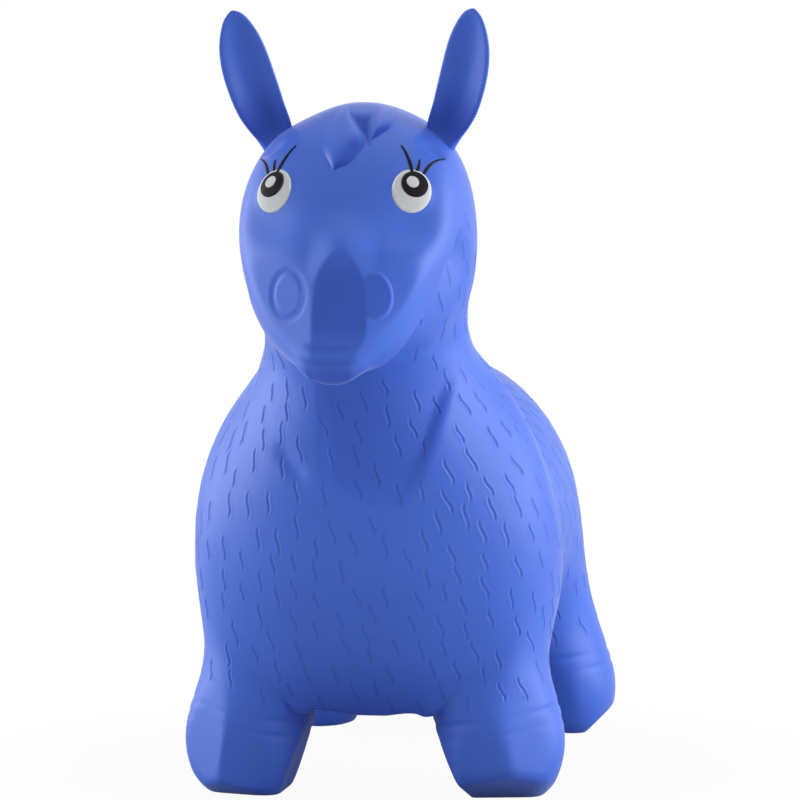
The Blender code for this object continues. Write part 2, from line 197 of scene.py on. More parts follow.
room = {"ambient": 0.45, "mirrored": 0.85,   # the light of the room, and how white it looks in gloss
        "floorTone": 0.70, "floorGlow": 0.95, "floorShade": 0.34, "floorShine": 0.12, "floorRough": 0.9,
        "shadowReach": (0.15, 0.42), "floorSize": 16.0}

world = bpy.data.worlds.new("room")
world.use_nodes = True
scene.world = world
path = world.node_tree.nodes.new("ShaderNodeLightPath")
seen, glossy, through = (Sock(world.node_tree, path.outputs[name])
                         for name in ("Is Camera Ray", "Is Glossy Ray", "Is Transmission Ray"))
seen = seen.most(through).most(room["mirrored"] * glossy)
level = room["ambient"] + (1 - room["ambient"]) * seen
world.node_tree.links.new(level.link, world.node_tree.nodes["Background"].inputs["Strength"])
world.node_tree.nodes["Background"].inputs["Color"].default_value = (1, 1, 1, 1)

floorMesh = bpy.data.meshes.new("floor")
half = room["floorSize"] / 2
floorMesh.from_pydata([(-half, -half, 0), (half, -half, 0), (half, half, 0), (-half, half, 0)], [], [(0, 1, 2, 3)])
floor = bpy.data.objects.new("floor", floorMesh)
scene.collection.objects.link(floor)
floorMat, floorShader, floorSock = newMaterial("paleFloor")
tree = floorMat.node_tree
speck = floorSock.node("ShaderNodeTexNoise", Scale=40.0, Detail=3.0)
floorShader.inputs["Roughness"].default_value = room["floorRough"]
glow = tree.nodes.new("ShaderNodeEmission")
path = tree.nodes.new("ShaderNodeLightPath")
where = floorSock.node("ShaderNodeTexCoord", out=3)
away = floorSock.node("ShaderNodeVectorMath", {"operation": "LENGTH"}, out=1, in0=where)
# painted shadow: the floor's colour darkens toward floorShade within shadowReach of the horse, so less light bounces up
# under it
lit = (away + 0.02 * speck).between(*room["shadowReach"])
feed(floorShader, lit.mix((room["floorShade"],) * 3 + (1,), (room["floorTone"],) * 3 + (1,)), "Base Color")
share = room["floorGlow"] + (1 - room["floorGlow"]) * away.between(*room["shadowReach"])
seen, glossy = (Sock(tree, path.outputs[name]) for name in ("Is Camera Ray", "Is Glossy Ray"))
share = share * seen.most(room["floorShine"] * glossy)
blendNode = tree.nodes.new("ShaderNodeMixShader")
tree.links.new(share.link, blendNode.inputs[0])
tree.links.new(floorShader.outputs[0], blendNode.inputs[1])
tree.links.new(glow.outputs[0], blendNode.inputs[2])
tree.links.new(blendNode.outputs[0], tree.nodes["Material Output"].inputs["Surface"])
floorMesh.materials.append(floorMat)
floor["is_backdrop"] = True
print("camera, floor and light ready")


# The blown-up skin: one tube from rump to nose, with four legs drawn from its underside.
# Each ring is its top point (y, z), its low point (y, z), its half width and how much fuller it is above.

skinForm = {
    "rings": {
        "tailHead": (0.2050, 0.258, 0.2090, 0.110, 0.0710, -0.10),
        "rump": (0.1480, 0.292, 0.1520, 0.078, 0.1030, -0.16),
        "hip": (0.0720, 0.288, 0.0780, 0.080, 0.1070, -0.16),
        "saddle": (-0.0080, 0.268, -0.0030, 0.086, 0.1030, -0.12),
        "girth": (-0.0660, 0.280, -0.0880, 0.067, 0.1130, -0.12),
        "shoulder": (-0.0980, 0.297, -0.1520, 0.040, 0.1268, -0.12),
        "chest": (-0.1140, 0.309, -0.2110, 0.080, 0.1262, -0.12),
        "breast": (-0.1210, 0.322, -0.2440, 0.152, 0.1135, -0.12),
        "neckBase": (-0.1250, 0.340, -0.2480, 0.225, 0.0765, -0.18),
        "neck": (-0.1270, 0.368, -0.2500, 0.285, 0.0650, 0.00),
        "jowl": (-0.1270, 0.405, -0.2720, 0.298, 0.0752, 0.06),
        "poll": (-0.1370, 0.443, -0.2940, 0.293, 0.0778, 0.14),
        "crown": (-0.1760, 0.475, -0.3100, 0.295, 0.0775, 0.20),
        "forehead": (-0.2220, 0.475, -0.3180, 0.300, 0.0700, 0.22),
        "brow": (-0.2600, 0.446, -0.3230, 0.308, 0.0620, 0.16),
        "noseBridge": (-0.2880, 0.408, -0.3260, 0.316, 0.0550, 0.08),
        "nostrils": (-0.3060, 0.378, -0.3260, 0.325, 0.0420, 0.00),
    },
    "rumpPole": (0.2290, 0.188),
    "nosePole": (-0.3220, 0.350),
    # a leg ring is its height, how steeply it rises to the outside, its middle (x, y) and half sizes
    "frontLeg": ((0.077, 0.50, 0.0770, -0.1570, 0.0385, 0.0490),
                 (0.056, 0.20, 0.0850, -0.1600, 0.0430, 0.0460),
                 (0.036, 0.05, 0.0895, -0.1630, 0.0445, 0.0480),
                 (0.014, 0.00, 0.0885, -0.1640, 0.0405, 0.0450),
                 (-0.008, 0.00, 0.0855, -0.1640, 0.0300, 0.0375)),
    "rearLeg": ((0.082, 0.50, 0.0735, 0.1460, 0.0370, 0.0490),
                (0.060, 0.20, 0.0870, 0.1500, 0.0350, 0.0450),
                (0.037, 0.05, 0.0990, 0.1520, 0.0320, 0.0460),
                (0.014, 0.00, 0.0995, 0.1530, 0.0285, 0.0430),
                (-0.008, 0.00, 0.0985, 0.1530, 0.0235, 0.0355)),
    "around": 12, "legAround": 8, "smoothing": 4,
    "nodHingeY": -0.190,   # where this drawing has the hinge that the head nods on
}

hinge = next(joint for joint in frame["joints"] if joint["name"] == "head_nod")
standY = hinge["pos_m"][1] - skinForm["nodHingeY"]


def linked(name, mesh):
    obj = bpy.data.objects.new(name, mesh)
    scene.collection.objects.link(obj)
    return obj


def plainMesh(obj):
    graph = bpy.context.evaluated_depsgraph_get()
    return bpy.data.meshes.new_from_object(obj.evaluated_get(graph))


def dropObject(obj):
    mesh = obj.data
    bpy.data.objects.remove(obj)
    bpy.data.meshes.remove(mesh)


def meshFrom(name, work):
    bmesh.ops.recalc_face_normals(work, faces=work.faces)
    mesh = bpy.data.meshes.new(name)
    work.to_mesh(mesh)
    work.free()
    return mesh


def smoothed(name, mesh, levels):
    obj = linked(name, mesh)
    sub = obj.modifiers.new("smooth", "SUBSURF")
    sub.levels = sub.render_levels = levels
    fine = plainMesh(obj)
    dropObject(obj)
    fine.name = name
    return fine


def roundGain(points):
    return 6 / (4 + 2 * math.cos(2 * math.pi / points))


def skinCage(form):
    cage = bmesh.new()
    names = list(form["rings"])
    count, legCount = form["around"], form["legAround"]
    grid = []
    for topY, topZ, lowY, lowZ, halfWidth, fullness in form["rings"].values():
        middle = Vector((0, (topY + lowY) / 2, (topZ + lowZ) / 2))
        reach = Vector((0, topY, topZ)) - middle
        ring = []
        for k in range(count):
            angle = 2 * math.pi * (k + 0.5) / count
            wide = halfWidth * math.sin(angle) * (1 + fullness * math.cos(angle))
            ring.append(cage.verts.new(middle + roundGain(count) * (Vector((wide, 0, 0)) + reach * math.cos(angle))))
        grid.append(ring)
    opened = set()
    for legRings, row in ((form["frontLeg"], names.index("girth")), (form["rearLeg"], names.index("tailHead"))):
        for side, cols in ((1, (3, 4, 5)), (-1, (8, 7, 6))):
            for r in (row, row + 1):
                opened.add((r, min(cols[0], cols[1])))
                opened.add((r, min(cols[1], cols[2])))
            loop = [grid[row][cols[0]], grid[row][cols[1]], grid[row][cols[2]], grid[row + 1][cols[2]],
                    grid[row + 2][cols[2]], grid[row + 2][cols[1]], grid[row + 2][cols[0]], grid[row + 1][cols[0]]]
            for z, tilt, x, y, halfX, halfY in legRings:
                ring = []
                for k in range(legCount):
                    angle = 2 * math.pi * (k + 1) / legCount
                    out = roundGain(legCount) * halfX * math.cos(angle)
                    along = roundGain(legCount) * halfY * math.sin(angle)
                    ring.append(cage.verts.new((side * (x + out), y + along, z + tilt * out)))
                for k in range(legCount):
                    cage.faces.new((loop[k - 1], loop[k], ring[k], ring[k - 1]))
                loop = ring
            cage.faces.new(loop)
    for r in range(len(grid) - 1):
        for k in range(count):
            if (r, k) not in opened:
                n = (k + 1) % count
                cage.faces.new((grid[r][k], grid[r][n], grid[r + 1][n], grid[r + 1][k]))
    for ring, pole in ((grid[0], form["rumpPole"]), (grid[-1], form["nosePole"])):
        tip = cage.verts.new((0, pole[0], pole[1]))
        for k in range(count):
            cage.faces.new((ring[k - 1], ring[k], tip))
    bmesh.ops.delete(cage, geom=[v for v in cage.verts if not v.link_faces], context="VERTS")
    bmesh.ops.translate(cage, verts=cage.verts, vec=(0, standY, 0))
    return meshFrom("skinCage", cage)


def refined(mesh, wanted):
    work = bmesh.new()
    work.from_mesh(mesh)
    edges = {edge for face, want in zip(work.faces, wanted) if want for edge in face.edges}
    bmesh.ops.subdivide_edges(work, edges=list(edges), cuts=1, use_grid_fill=True)
    work.to_mesh(mesh)
    work.free()


def readRows(items, name):
    rows = np.empty(len(items) * 3)
    items.foreach_get(name, rows)
    return rows.reshape(-1, 3)


def painted(mesh, name, values):
    mesh.attributes.new(name, "FLOAT", "POINT").data.foreach_set("value", values)


def unit(direction):
    return np.array(direction) / np.linalg.norm(direction)


def mirrored(side, spot):
    return (side * spot[0], *spot[1:])


def ease(values):
    t = np.clip(values, 0, 1)
    return t * t * (3 - 2 * t)


def rampUp(values, start, over):     # 0 up to start, then rising to 1
    return ease((values - start) / over)


def rampDown(values, stop, over):    # 1 at first, falling to 0 at stop
    return ease((stop - values) / over)


# The skin worked like clay: a stroke moves points in along their own normals, or out where its depth is negative

class Clay:
    def __init__(self, mesh):
        self.mesh = mesh
        self.at = readRows(mesh.vertices, "co")
        self.settle()

    def settle(self):
        self.mesh.vertices.foreach_set("co", self.at.ravel())
        self.mesh.update()
        self.out = readRows(self.mesh.vertices, "normal")
        work = bmesh.new()
        work.from_mesh(self.mesh)
        self.tree = BVHTree.FromBMesh(work)
        work.free()

    def cast(self, place, heading):
        heading = Vector(heading).normalized()
        hit, normal, face, far = self.tree.ray_cast(Vector(place) - heading * 0.6, heading)   # from well outside
        return hit, normal

    def castFront(self, x, z):
        return self.cast((x, -0.2, z), (0, 1, 0))

    def front(self, x, z):
        return self.castFront(x, z)[0]

    def onFace(self, side, place):
        return self.front(side * place[0], place[1])

    def move(self, depth):
        self.at -= self.out * depth[:, None]

    def nearPath(self, path, reach, closed):
        path = np.array([tuple(p) for p in path])
        if closed:
            path = np.vstack([path, path[:1]])
        picked = np.all((self.at > path.min(0) - reach) & (self.at < path.max(0) + reach), axis=1)
        spots = self.at[picked]
        far, along, foot = np.full(len(spots), 9.0), np.zeros(len(spots)), np.zeros_like(spots)
        lengths = np.linalg.norm(np.diff(path, axis=0), axis=1)
        done = 0.0
        for a, b, length in zip(path, path[1:], lengths):
            t = np.clip((spots - a) @ (b - a) / max(length * length, 1e-12), 0, 1)
            close = a + t[:, None] * (b - a)
            gap = np.linalg.norm(spots - close, axis=1)
            better = gap < far
            far[better], foot[better] = gap[better], close[better]
            along[better] = (done + t * length)[better] / lengths.sum()
            done += length
        return picked, far, along, foot

    def groove(self, path, width, depth, taper=0.3, closed=False):
        picked, far, along, foot = self.nearPath(path, width, closed)
        press = depth * ease(1 - far / width)
        if taper and not closed:
            press = press * ease(along / taper) * ease((1 - along) / taper)
        self.at[picked] -= self.out[picked] * press[:, None]

    def step(self, path, edge, width, depth, toward, taper=0.2):
        picked, far, along, foot = self.nearPath(path, width, False)
        past = (self.at[picked] - foot) @ unit(toward)
        press = depth * ease(past / edge) * ease(1 - far / width) * ease(along / taper) * ease((1 - along) / taper)
        self.at[picked] -= self.out[picked] * press[:, None]

    def dish(self, middle, across, upward, half, depth, wall):
        off = self.at - np.array(middle)
        across, upward = unit(across), unit(upward)
        r = np.hypot(off @ across / half[0], off @ upward / half[1])
        near = np.linalg.norm(off, axis=1) < 2.2 * max(half)
        self.move(np.where(near, depth * ease((1 - r) / wall), 0.0))

    def relax(self, weight, times):
        pairs = np.empty(len(self.mesh.edges) * 2, dtype=np.int64)
        self.mesh.edges.foreach_get("vertices", pairs)
        a, b = pairs.reshape(-1, 2).T
        use = (weight[a] > 0) | (weight[b] > 0)
        a, b = a[use], b[use]
        count = np.bincount(a, minlength=len(self.at)) + np.bincount(b, minlength=len(self.at))
        for turn in range(times):
            total = np.stack([np.bincount(a, self.at[b, k], len(self.at)) + np.bincount(b, self.at[a, k], len(self.at))
                              for k in range(3)], axis=1)
            self.at += (0.5 * weight)[:, None] * (total / np.maximum(count, 1)[:, None] - self.at)

    def turned(self, middle, outer, upward, half, depth, rest):
        # an oval turned about an upright line: sunk on its inner side, proud on its outer side
        off = self.at - np.array(middle)
        outer, upward = unit(outer), unit(upward)
        u, v = off @ outer / half[0], off @ upward / half[1]
        near = np.linalg.norm(off, axis=1) < 2.2 * max(half)
        self.move(np.where(near, -depth * (u + rest) * ease((1.08 - np.hypot(u, v)) / 0.20), 0.0))

    def shave(self, spot, facing, soft, reach, fade=3.0):
        facing = unit(facing)
        off = self.at - np.array(spot)
        above = off @ facing
        cut = np.where(above > soft, above, soft * np.clip((above + soft) / (2 * soft), 0, 1) ** 2)
        cut = cut * ease((1 - np.linalg.norm(off, axis=1) / reach) * fade)
        self.at -= facing[None] * cut[:, None]


skinMesh = smoothed("skin", skinCage(skinForm), skinForm["smoothing"])
spots = readRows(skinMesh.polygons, "center")   # finer on the face and the hooves
refined(skinMesh, ((spots[:, 1] < -0.165) & (spots[:, 2] > 0.29)) | (spots[:, 2] < 0.075))
clay = Clay(skinMesh)
print("skin smoothed:", len(skinMesh.polygons), "faces")


# The face. Places are (x, z) as seen from the front. Those of eyes, brows and nostrils are on the horse's left,
# and are mirrored.

face = {
    "eye": (0.0466, 0.4150), "eyeCut": 0.0030, "eyeFacing": (0.42, -0.84, 0.34), "eyeSwell": (0.0165, 0.0180, 0.0016),
    "crownCut": (0.036, -0.150, 0.4660), "crownFacing": (0.42, -0.12, 0.90),
    "brow": (0.0545, 0.4420), "browHollow": (0.0135, 0.0090, 0.0022), "browShade": (0.0125, 0.0080), "browDim": 0.42,
    "relaxed": 110,
    # the nostrils differ from left to right
    "nostril": (0.0292, 0.3475), "nostrilHalf": (0.0114, 0.0150), "nostrilTurn": {1: 0.0012, -1: 0.0005},
    "nostrilRest": {1: 0.75, -1: 0.15}, "nostrilGroove": {1: 0.0, -1: 0.0006}, "rimWidth": 0.0042,
    "rimShade": 0.0038, "rimDim": {1: 0.0, -1: 0.30}, "discDim": {1: 0.40, -1: 0.0},
    "noseFront": ((0.004, -0.2723, 0.3360), (0.0, -0.9964, 0.0843)), "noseRoof": 0.0072, "noseDim": 0.50,
    # where the flat front of the nose turns into its sides, and how sharply
    "noseEdge": {-1: (-0.0125, -0.2718, 0.3400), 1: (0.0268, -0.2718, 0.3400)}, "edgeSoft": {-1: 0.0012, 1: 0.0032},
    "noseSide": (0.46, -0.885, 0.07), "noseReach": 0.110,
    "bridge": ((0.0040, 0.4060), (0.0055, 0.3900), (0.0066, 0.3745), (0.0066, 0.3590), (0.0066, 0.3420)),
    "mouth": (((-0.0190, 0.3150), (-0.0100, 0.3134), (0.0, 0.3130), (0.0100, 0.3134), (0.0190, 0.3150)),
              ((-0.0230, 0.3062), (-0.0110, 0.3038), (0.0, 0.3032), (0.0110, 0.3038), (0.0230, 0.3062))),
    "mouthDepth": 0.0012, "mouthWidth": 0.0040, "mouthShade": 0.0046, "mouthDim": 0.30,
    "jaw": ((0.0705, -0.2030, 0.3950), (0.0721, -0.2137, 0.3822), (0.0680, -0.2251, 0.3681), (0.0643, -0.2303, 0.3559),
            (0.0592, -0.2348, 0.3423), (0.0510, -0.2408, 0.3269), (0.0433, -0.2420, 0.3146), (0.0358, -0.2440, 0.3068),
            (0.0200, -0.2480, 0.3010)),
    "jawDepth": 0.0085, "jawEdge": 0.0026, "jawWidth": 0.045,
    "chin": ((-0.0260, -0.2500, 0.3020), (-0.0100, -0.2570, 0.3012), (0.0080, -0.2570, 0.3012),
             (0.0240, -0.2500, 0.3020)),
    "chinDrop": 0.0100, "chinWidth": 0.026, "chinDim": 0.40,
    "pit": ((-0.0016, 0.4645), (0.0108, 0.4645), (0.0137, 0.4455)), "pitDepth": 0.0018, "pitDim": 0.80,
}

for side in (1, -1):
    spot = clay.onFace(side, face["eye"]) + Vector((0, face["eyeCut"], 0))
    clay.shave(spot, mirrored(side, face["eyeFacing"]), soft=0.006, reach=0.060, fade=1.6)
    clay.shave(mirrored(side, face["crownCut"]), mirrored(side, face["crownFacing"]), soft=0.005, reach=0.055)
    clay.shave(face["noseEdge"][side], mirrored(side, face["noseSide"]), soft=0.008, reach=face["noseReach"])
clay.groove([Vector(p) for p in face["chin"]], width=face["chinWidth"], depth=-face["chinDrop"], taper=0.45)
x, y, z = clay.at.T
clay.relax(rampDown(y, -0.165, 0.03) * rampUp(z, 0.300, 0.012), times=face["relaxed"])
clay.settle()
clay.groove([clay.front(x, z) for x, z in face["bridge"]], width=0.025, depth=-face["noseRoof"], taper=0.55)
clay.settle()

# The narrow flat front of the nose, with a roof-shaped top where it cuts the bridge
for side in (1, -1):
    clay.shave(face["noseEdge"][side], mirrored(side, face["noseSide"]), soft=face["edgeSoft"][side], reach=0.052,
               fade=1.2)
clay.shave(*face["noseFront"], soft=0.0009, reach=0.080)
clay.settle()
# painted shade: the flat front of the nose is darkened in colour (noseShade, strength noseDim)
off, facing = clay.at - np.array(face["noseFront"][0]), np.array(face["noseFront"][1])
noseShade = face["noseDim"] * rampUp(clay.out @ facing, 0.93, 0.06) * ease(2 - np.abs(off @ facing) / 0.0016)
noseShade *= rampUp(clay.at[:, 2], 0.308, 0.022) * rampDown(clay.at[:, 2], 0.386, 0.030)
noseShade *= np.linalg.norm(off, axis=1) < 0.07

# nostrilShade is painted shade: a dark ring along one nostril's rim and a darker disc on the other nostril
nostrilShade = np.zeros(len(clay.at))
for side in (1, -1):
    clay.dish(clay.onFace(side, face["eye"]), (0.80, side * 0.45, 0), (0, 0.35, 0.94),
              half=face["eyeSwell"][:2], depth=-face["eyeSwell"][2], wall=0.8)
    clay.dish(clay.onFace(side, face["brow"]), (0.75, side * 0.60, 0), (0, 0.5, 0.86),
              half=face["browHollow"][:2], depth=face["browHollow"][2], wall=0.95)
    middle = clay.onFace(side, face["nostril"])
    half = face["nostrilHalf"]
    clay.turned(middle, (side * 1, 0.38, 0), (0, 0.25, 1), half, face["nostrilTurn"][side], face["nostrilRest"][side])
    rim = [clay.front(middle.x + half[0] * math.cos(a), middle.z + half[1] * math.sin(a))
           for a in np.linspace(0, 2 * math.pi, 40, endpoint=False)]
    picked, far, share, foot = clay.nearPath(rim, face["rimShade"], True)
    dim = face["rimDim"][side] * ease(1 - far / face["rimShade"])
    nostrilShade[picked] = np.maximum(nostrilShade[picked], dim)
    off = clay.at - np.array(middle)
    r = np.hypot(off[:, 0] / half[0], off[:, 2] / half[1]) + 9 * (np.linalg.norm(off, axis=1) > 0.025)
    nostrilShade = np.maximum(nostrilShade, face["discDim"][side] * rampDown(r, 1.06, 0.22))
    clay.groove(rim, face["rimWidth"], face["nostrilGroove"][side], closed=True)
    line = [Vector(mirrored(side, p)) for p in face["jaw"]]
    clay.step(line, face["jawEdge"], face["jawWidth"], face["jawDepth"], (side * 0.25, 0.80, -0.45))
clay.settle()
# mouthShade is painted shade along the two mouth lines
mouthShade = np.zeros(len(clay.at))
for line in face["mouth"]:
    line = [clay.front(x, z) for x, z in line]
    picked, far, share, foot = clay.nearPath(line, face["mouthShade"], False)
    dim = face["mouthDim"] * ease(1 - far / face["mouthShade"]) * ease(share / 0.2) * ease((1 - share) / 0.2)
    mouthShade[picked] = np.maximum(mouthShade[picked], dim)
    clay.groove(line, face["mouthWidth"], face["mouthDepth"], taper=0.35)
clay.settle()
x, y, z = clay.at.T
# painted shade under the chin's lower edge
dim = face["chinDim"] * rampDown(z, 0.306, 0.010) * rampDown(np.abs(x), 0.055, 0.02) * (y < -0.215) * (z > 0.275)
mouthShade = np.maximum(mouthShade, dim)

# The notch above the forelock: a triangle sunk into the crown and darkened with painted shade
(pitLeft, pitTop), (pitRight, pitTop), (pitTip, pitLow) = face["pit"]
rise = np.clip((z - pitLow) / (pitTop - pitLow), 0, 1)
inPit = np.minimum(x - (pitTip + (pitLeft - pitTip) * rise), (pitTip + (pitRight - pitTip) * rise) - x)
inPit = np.minimum(inPit, np.minimum(pitTop - z, z - pitLow + 0.001)) * (y < -0.11) - (y > -0.11)
clay.move(face["pitDepth"] * rampUp(inPit, -0.0030, 0.0065))
# paintedShade gathers the painted shade of the notch, the nose front, the nostrils and the mouth
paintedShade = np.maximum.reduce((face["pitDim"] * rampUp(inPit, -0.0022, 0.0050), noseShade, nostrilShade, mouthShade))
# painted shade: a soft dark oval on each brow
for side in (1, -1):
    off = clay.at - np.array(clay.front(side * face["brow"][0], face["brow"][1] + 0.002))
    r = np.hypot((off[:, 0] * side * 0.78 + off[:, 1] * 0.62) / face["browShade"][0],
                 (off[:, 2] * 0.9 + off[:, 1] * 0.4) / face["browShade"][1])
    paintedShade = np.maximum(paintedShade, face["browDim"] * ease(1.15 - r) * (np.linalg.norm(off, axis=1) < 0.03))
clay.settle()
print("face worked")


# Chest and legs

body = {
    "chestEdge": ((0.198, 0.018, 0.020), (0.205, 0.004, 0.033), (0.222, -0.017, 0.045), (0.250, -0.019, 0.054),
                  (0.280, -0.020, 0.063), (0.302, -0.022, 0.068)),   # height, from, to
    "chestDepth": 0.0045, "chestSoft": (0.014, 0.008), "chestDim": 0.27, "chestEven": 0.9,
    "chestFold": ((-0.0560, 0.2480), (-0.0480, 0.2390), (-0.0380, 0.2280), (-0.0260, 0.2170)), "foldDepth": 0.0024,
    "bellyFlat": 0.0570, "bellyDim": 0.62,
    "bandFront": ((0.0500, 0.17), (0.0395, 0.17)),      # height at the inside of the leg, rise to the outside
    "bandRear": ((0.0530, 0.12), (0.0425, 0.12)),
    "bandDepth": {True: 0.0011, False: 0.0007}, "bandWidth": 0.0042, "legInside": 0.045,
    "hoofFront": {"front": ((0.0820, -0.1590, 0.030), (-0.10, -1.0, -0.06)),
                  "outer": ((0.1343, -0.1150, 0.024), (0.98, -0.05, -0.16)),
                  "toe": ((0.1245, -0.1300, 0.0100), (0.66, -0.15, -0.74))},
    # these differ from left to right
    "hoofOwn": {1: {"inner": ((0.0565, -0.1180, 0.025), (-0.880, 0.0, -0.47)),
                    "corner": ((0.1152, -0.1487, 0.028), (0.61, -0.78, 0.10), 0.0050),
                    "sole": ((0.0950, -0.1590, 0.0190), (0.12, -0.50, -0.86), 0.0070)},
                -1: {"inner": ((0.0530, -0.1180, 0.025), (-0.940, 0.0, -0.34)),
                     "corner": ((0.1145, -0.1475, 0.028), (0.62, -0.78, 0.05)),
                     "sole": ((0.0950, -0.1590, 0.0085), (0.12, -0.50, -0.86), 0.0040)}},
    "hoofRear": {"outer": ((0.1310, 0.1980, 0.026), (0.97, 0.05, -0.20)),
                 "toe": ((0.1210, 0.1980, 0.0110), (0.70, 0.0, -0.71)),
                 "corner": ((0.1190, 0.1620, 0.026), (0.60, -0.80, 0.0))},
    "hoofSoft": 0.0026, "hoofReach": 0.062,
    "valve": (0.0, 0.0757), "valveFloor": 0.0886, "valveDip": 0.030,   # the dip that the air valve sits in
}

# One even barrel in front: the skin drawn toward a smooth sheet fitted to it
x, y, z = clay.at.T
ahead = rampUp(-clay.out[:, 1], 0.20, 0.35) * rampDown(np.abs(x), 0.118, 0.035) * rampUp(z, 0.088, 0.035)
ahead *= rampDown(z, 0.285, 0.04)
ahead *= y < -0.05
terms = np.stack([(x / 0.1) ** i * (z / 0.1) ** j for i in (0, 2, 4) for j in range(4)], axis=1)
fitted = np.linalg.lstsq(terms[ahead > 0.3], y[ahead > 0.3], rcond=None)[0]
clay.at[:, 1] += body["chestEven"] * ahead * (terms @ fitted - y)
clay.settle()

# A sunk panel under the chin, darkened with painted shade
heights, low, high = np.array(body["chestEdge"]).T
inside = np.minimum((x - np.interp(z, heights, low)) / body["chestSoft"][0],
                    (np.interp(z, heights, high) - x) / body["chestSoft"][1])
panel = ease(inside + 0.35) * rampUp(z, 0.188, 0.040) * rampDown(z, 0.305, 0.030) * (y < -0.10)
clay.move(body["chestDepth"] * panel)
paintedShade = np.maximum(paintedShade, body["chestDim"] * panel)
clay.settle()
clay.groove([clay.front(x, z) for x, z in body["chestFold"]], width=0.0100, depth=body["foldDepth"], taper=0.4)

# A flat belly between the front legs
x, y, z = clay.at.T
for turn in range(2):
    under = rampDown(np.abs(x), 0.064, 0.026) * rampUp(y, -0.240, 0.05) * rampDown(y, -0.050, 0.05)
    under *= rampDown(z, 0.100, 0.02)
    under *= rampUp(z, 0.045, 0.008)
    clay.at[:, 2] += under * rampDown(clay.out[:, 2], 0.05, 0.55) * (body["bellyFlat"] - z)
    clay.relax(0.8 * under, times=14)
    clay.settle()
clay.relax(rampDown(np.abs(x), 0.098, 0.03) * rampDown(y, -0.070, 0.05) * rampDown(z, 0.165, 0.04)
           * rampUp(z, 0.050, 0.012), times=70)
clay.settle()
# painted shade: the belly between the front legs, darker toward the bottom
dim = body["bellyDim"] * rampDown(np.abs(x), 0.095, 0.07) * rampDown(z, 0.120, 0.065) * (y < -0.05)
paintedShade = np.maximum(paintedShade, dim)

# Bands above the hooves, then the flats of the hooves
front = y < 0.03
for bands, here, depth in ((body["bandFront"], front, body["bandDepth"][True]),
                           (body["bandRear"], ~front, body["bandDepth"][False])):
    for turn, (height, rise) in enumerate(bands):
        off = np.abs(z - height - rise * (np.abs(x) - body["legInside"]))
        off = np.where(here & (np.abs(x) > 0.012), off, 1.0)
        clay.move(depth * ease(1 - off / body["bandWidth"]) * (0.60 + 0.40 * np.sin(70 * x + 52 * y + 2.4 * turn)))
for side in (1, -1):
    for facets in (body["hoofFront"], body["hoofOwn"][side], body["hoofRear"]):
        for spot, facing, *soft in facets.values():
            clay.shave(mirrored(side, spot), mirrored(side, facing), soft[0] if soft else body["hoofSoft"],
                       body["hoofReach"])
clay.shave((0, 0, 0), (0, 0, -1), soft=0.0016, reach=9.0)   # flat soles
clay.at[:, 2] = np.maximum(clay.at[:, 2], 0.0)
far = np.hypot(x - body["valve"][0], y - body["valve"][1])
clay.at[:, 2] += rampDown(far, body["valveDip"], 0.013) * (z < 0.12) * (body["valveFloor"] - z)
clay.settle()
print("chest and legs worked")


# Blue vinyl

# groove: the dark colour that painted shade draws the blue toward
vinyl = {"blue": (0.046, 0.136, 0.650, 1), "deep": (0.041, 0.123, 0.595, 1), "groove": (0.015, 0.048, 0.400, 1),
         "strokePaintedShade": 0.24, "paintedShadeStrength": 0.85, "gloss": 0.42, "specular": 0.44, "sheen": 0.34, "sheenRough": 0.26}

vinylMat, vinylShader, vinylSock = newMaterial("blueVinyl")
place = vinylSock.node("ShaderNodeTexCoord", out=3)
cloud = vinylSock.node("ShaderNodeTexNoise", Vector=place, Scale=9.0, Detail=4.0)
dug = vinylSock.node("ShaderNodeAttribute", {"attribute_name": "furDepth"}, out=2)
# the hollow attribute holds the painted shade laid on skin, ears and locks
sunk = vinylSock.node("ShaderNodeAttribute", {"attribute_name": "hollow"}, out=2)
tone = cloud.between(0.3, 0.7).mix(vinyl["deep"], vinyl["blue"])
# painted shade in the base colour: darker in the engraved coat strokes and wherever the hollow attribute asks
paintedShadeMix = (vinyl["strokePaintedShade"] * dug + vinyl["paintedShadeStrength"] * sunk).least(1.0)
feed(vinylShader, paintedShadeMix.mix(tone, vinyl["groove"]), "Base Color")
feed(vinylShader, (vinyl["gloss"] + 0.06 * cloud + 0.10 * dug + 0.45 * sunk).least(1.0), "Roughness")
grain = vinylSock.node("ShaderNodeTexNoise", Vector=place, Scale=900.0, Detail=2.0)
feed(vinylShader, vinylSock.node("ShaderNodeBump", Strength=0.05, Distance=0.0002, Height=grain), "Normal")
vinylShader.inputs["Specular IOR Level"].default_value = vinyl["specular"]
vinylShader.inputs["Sheen Weight"].default_value = vinyl["sheen"]
vinylShader.inputs["Sheen Roughness"].default_value = vinyl["sheenRough"]
print("vinyl mixed")


def dressed(name, mesh, *mats):
    for mat in mats:
        mesh.materials.append(mat)
    mesh.polygons.foreach_set("use_smooth", [True] * len(mesh.polygons))
    return linked(name, mesh)


def sheetMesh(name, rows, closed=False, capStart=False, capEnd=False):
    work = bmesh.new()
    grid = [[work.verts.new(p) for p in row] for row in rows]
    for low, high in zip(grid, grid[1:]):
        for k in range(len(low) if closed else len(low) - 1):
            n = (k + 1) % len(low)
            work.faces.new((low[k], low[n], high[n], high[k]))
    if capStart:
        work.faces.new(grid[0])
    if capEnd:
        work.faces.new(grid[-1])
    bmesh.ops.remove_doubles(work, verts=work.verts, dist=1e-6)
    return meshFrom(name, work)


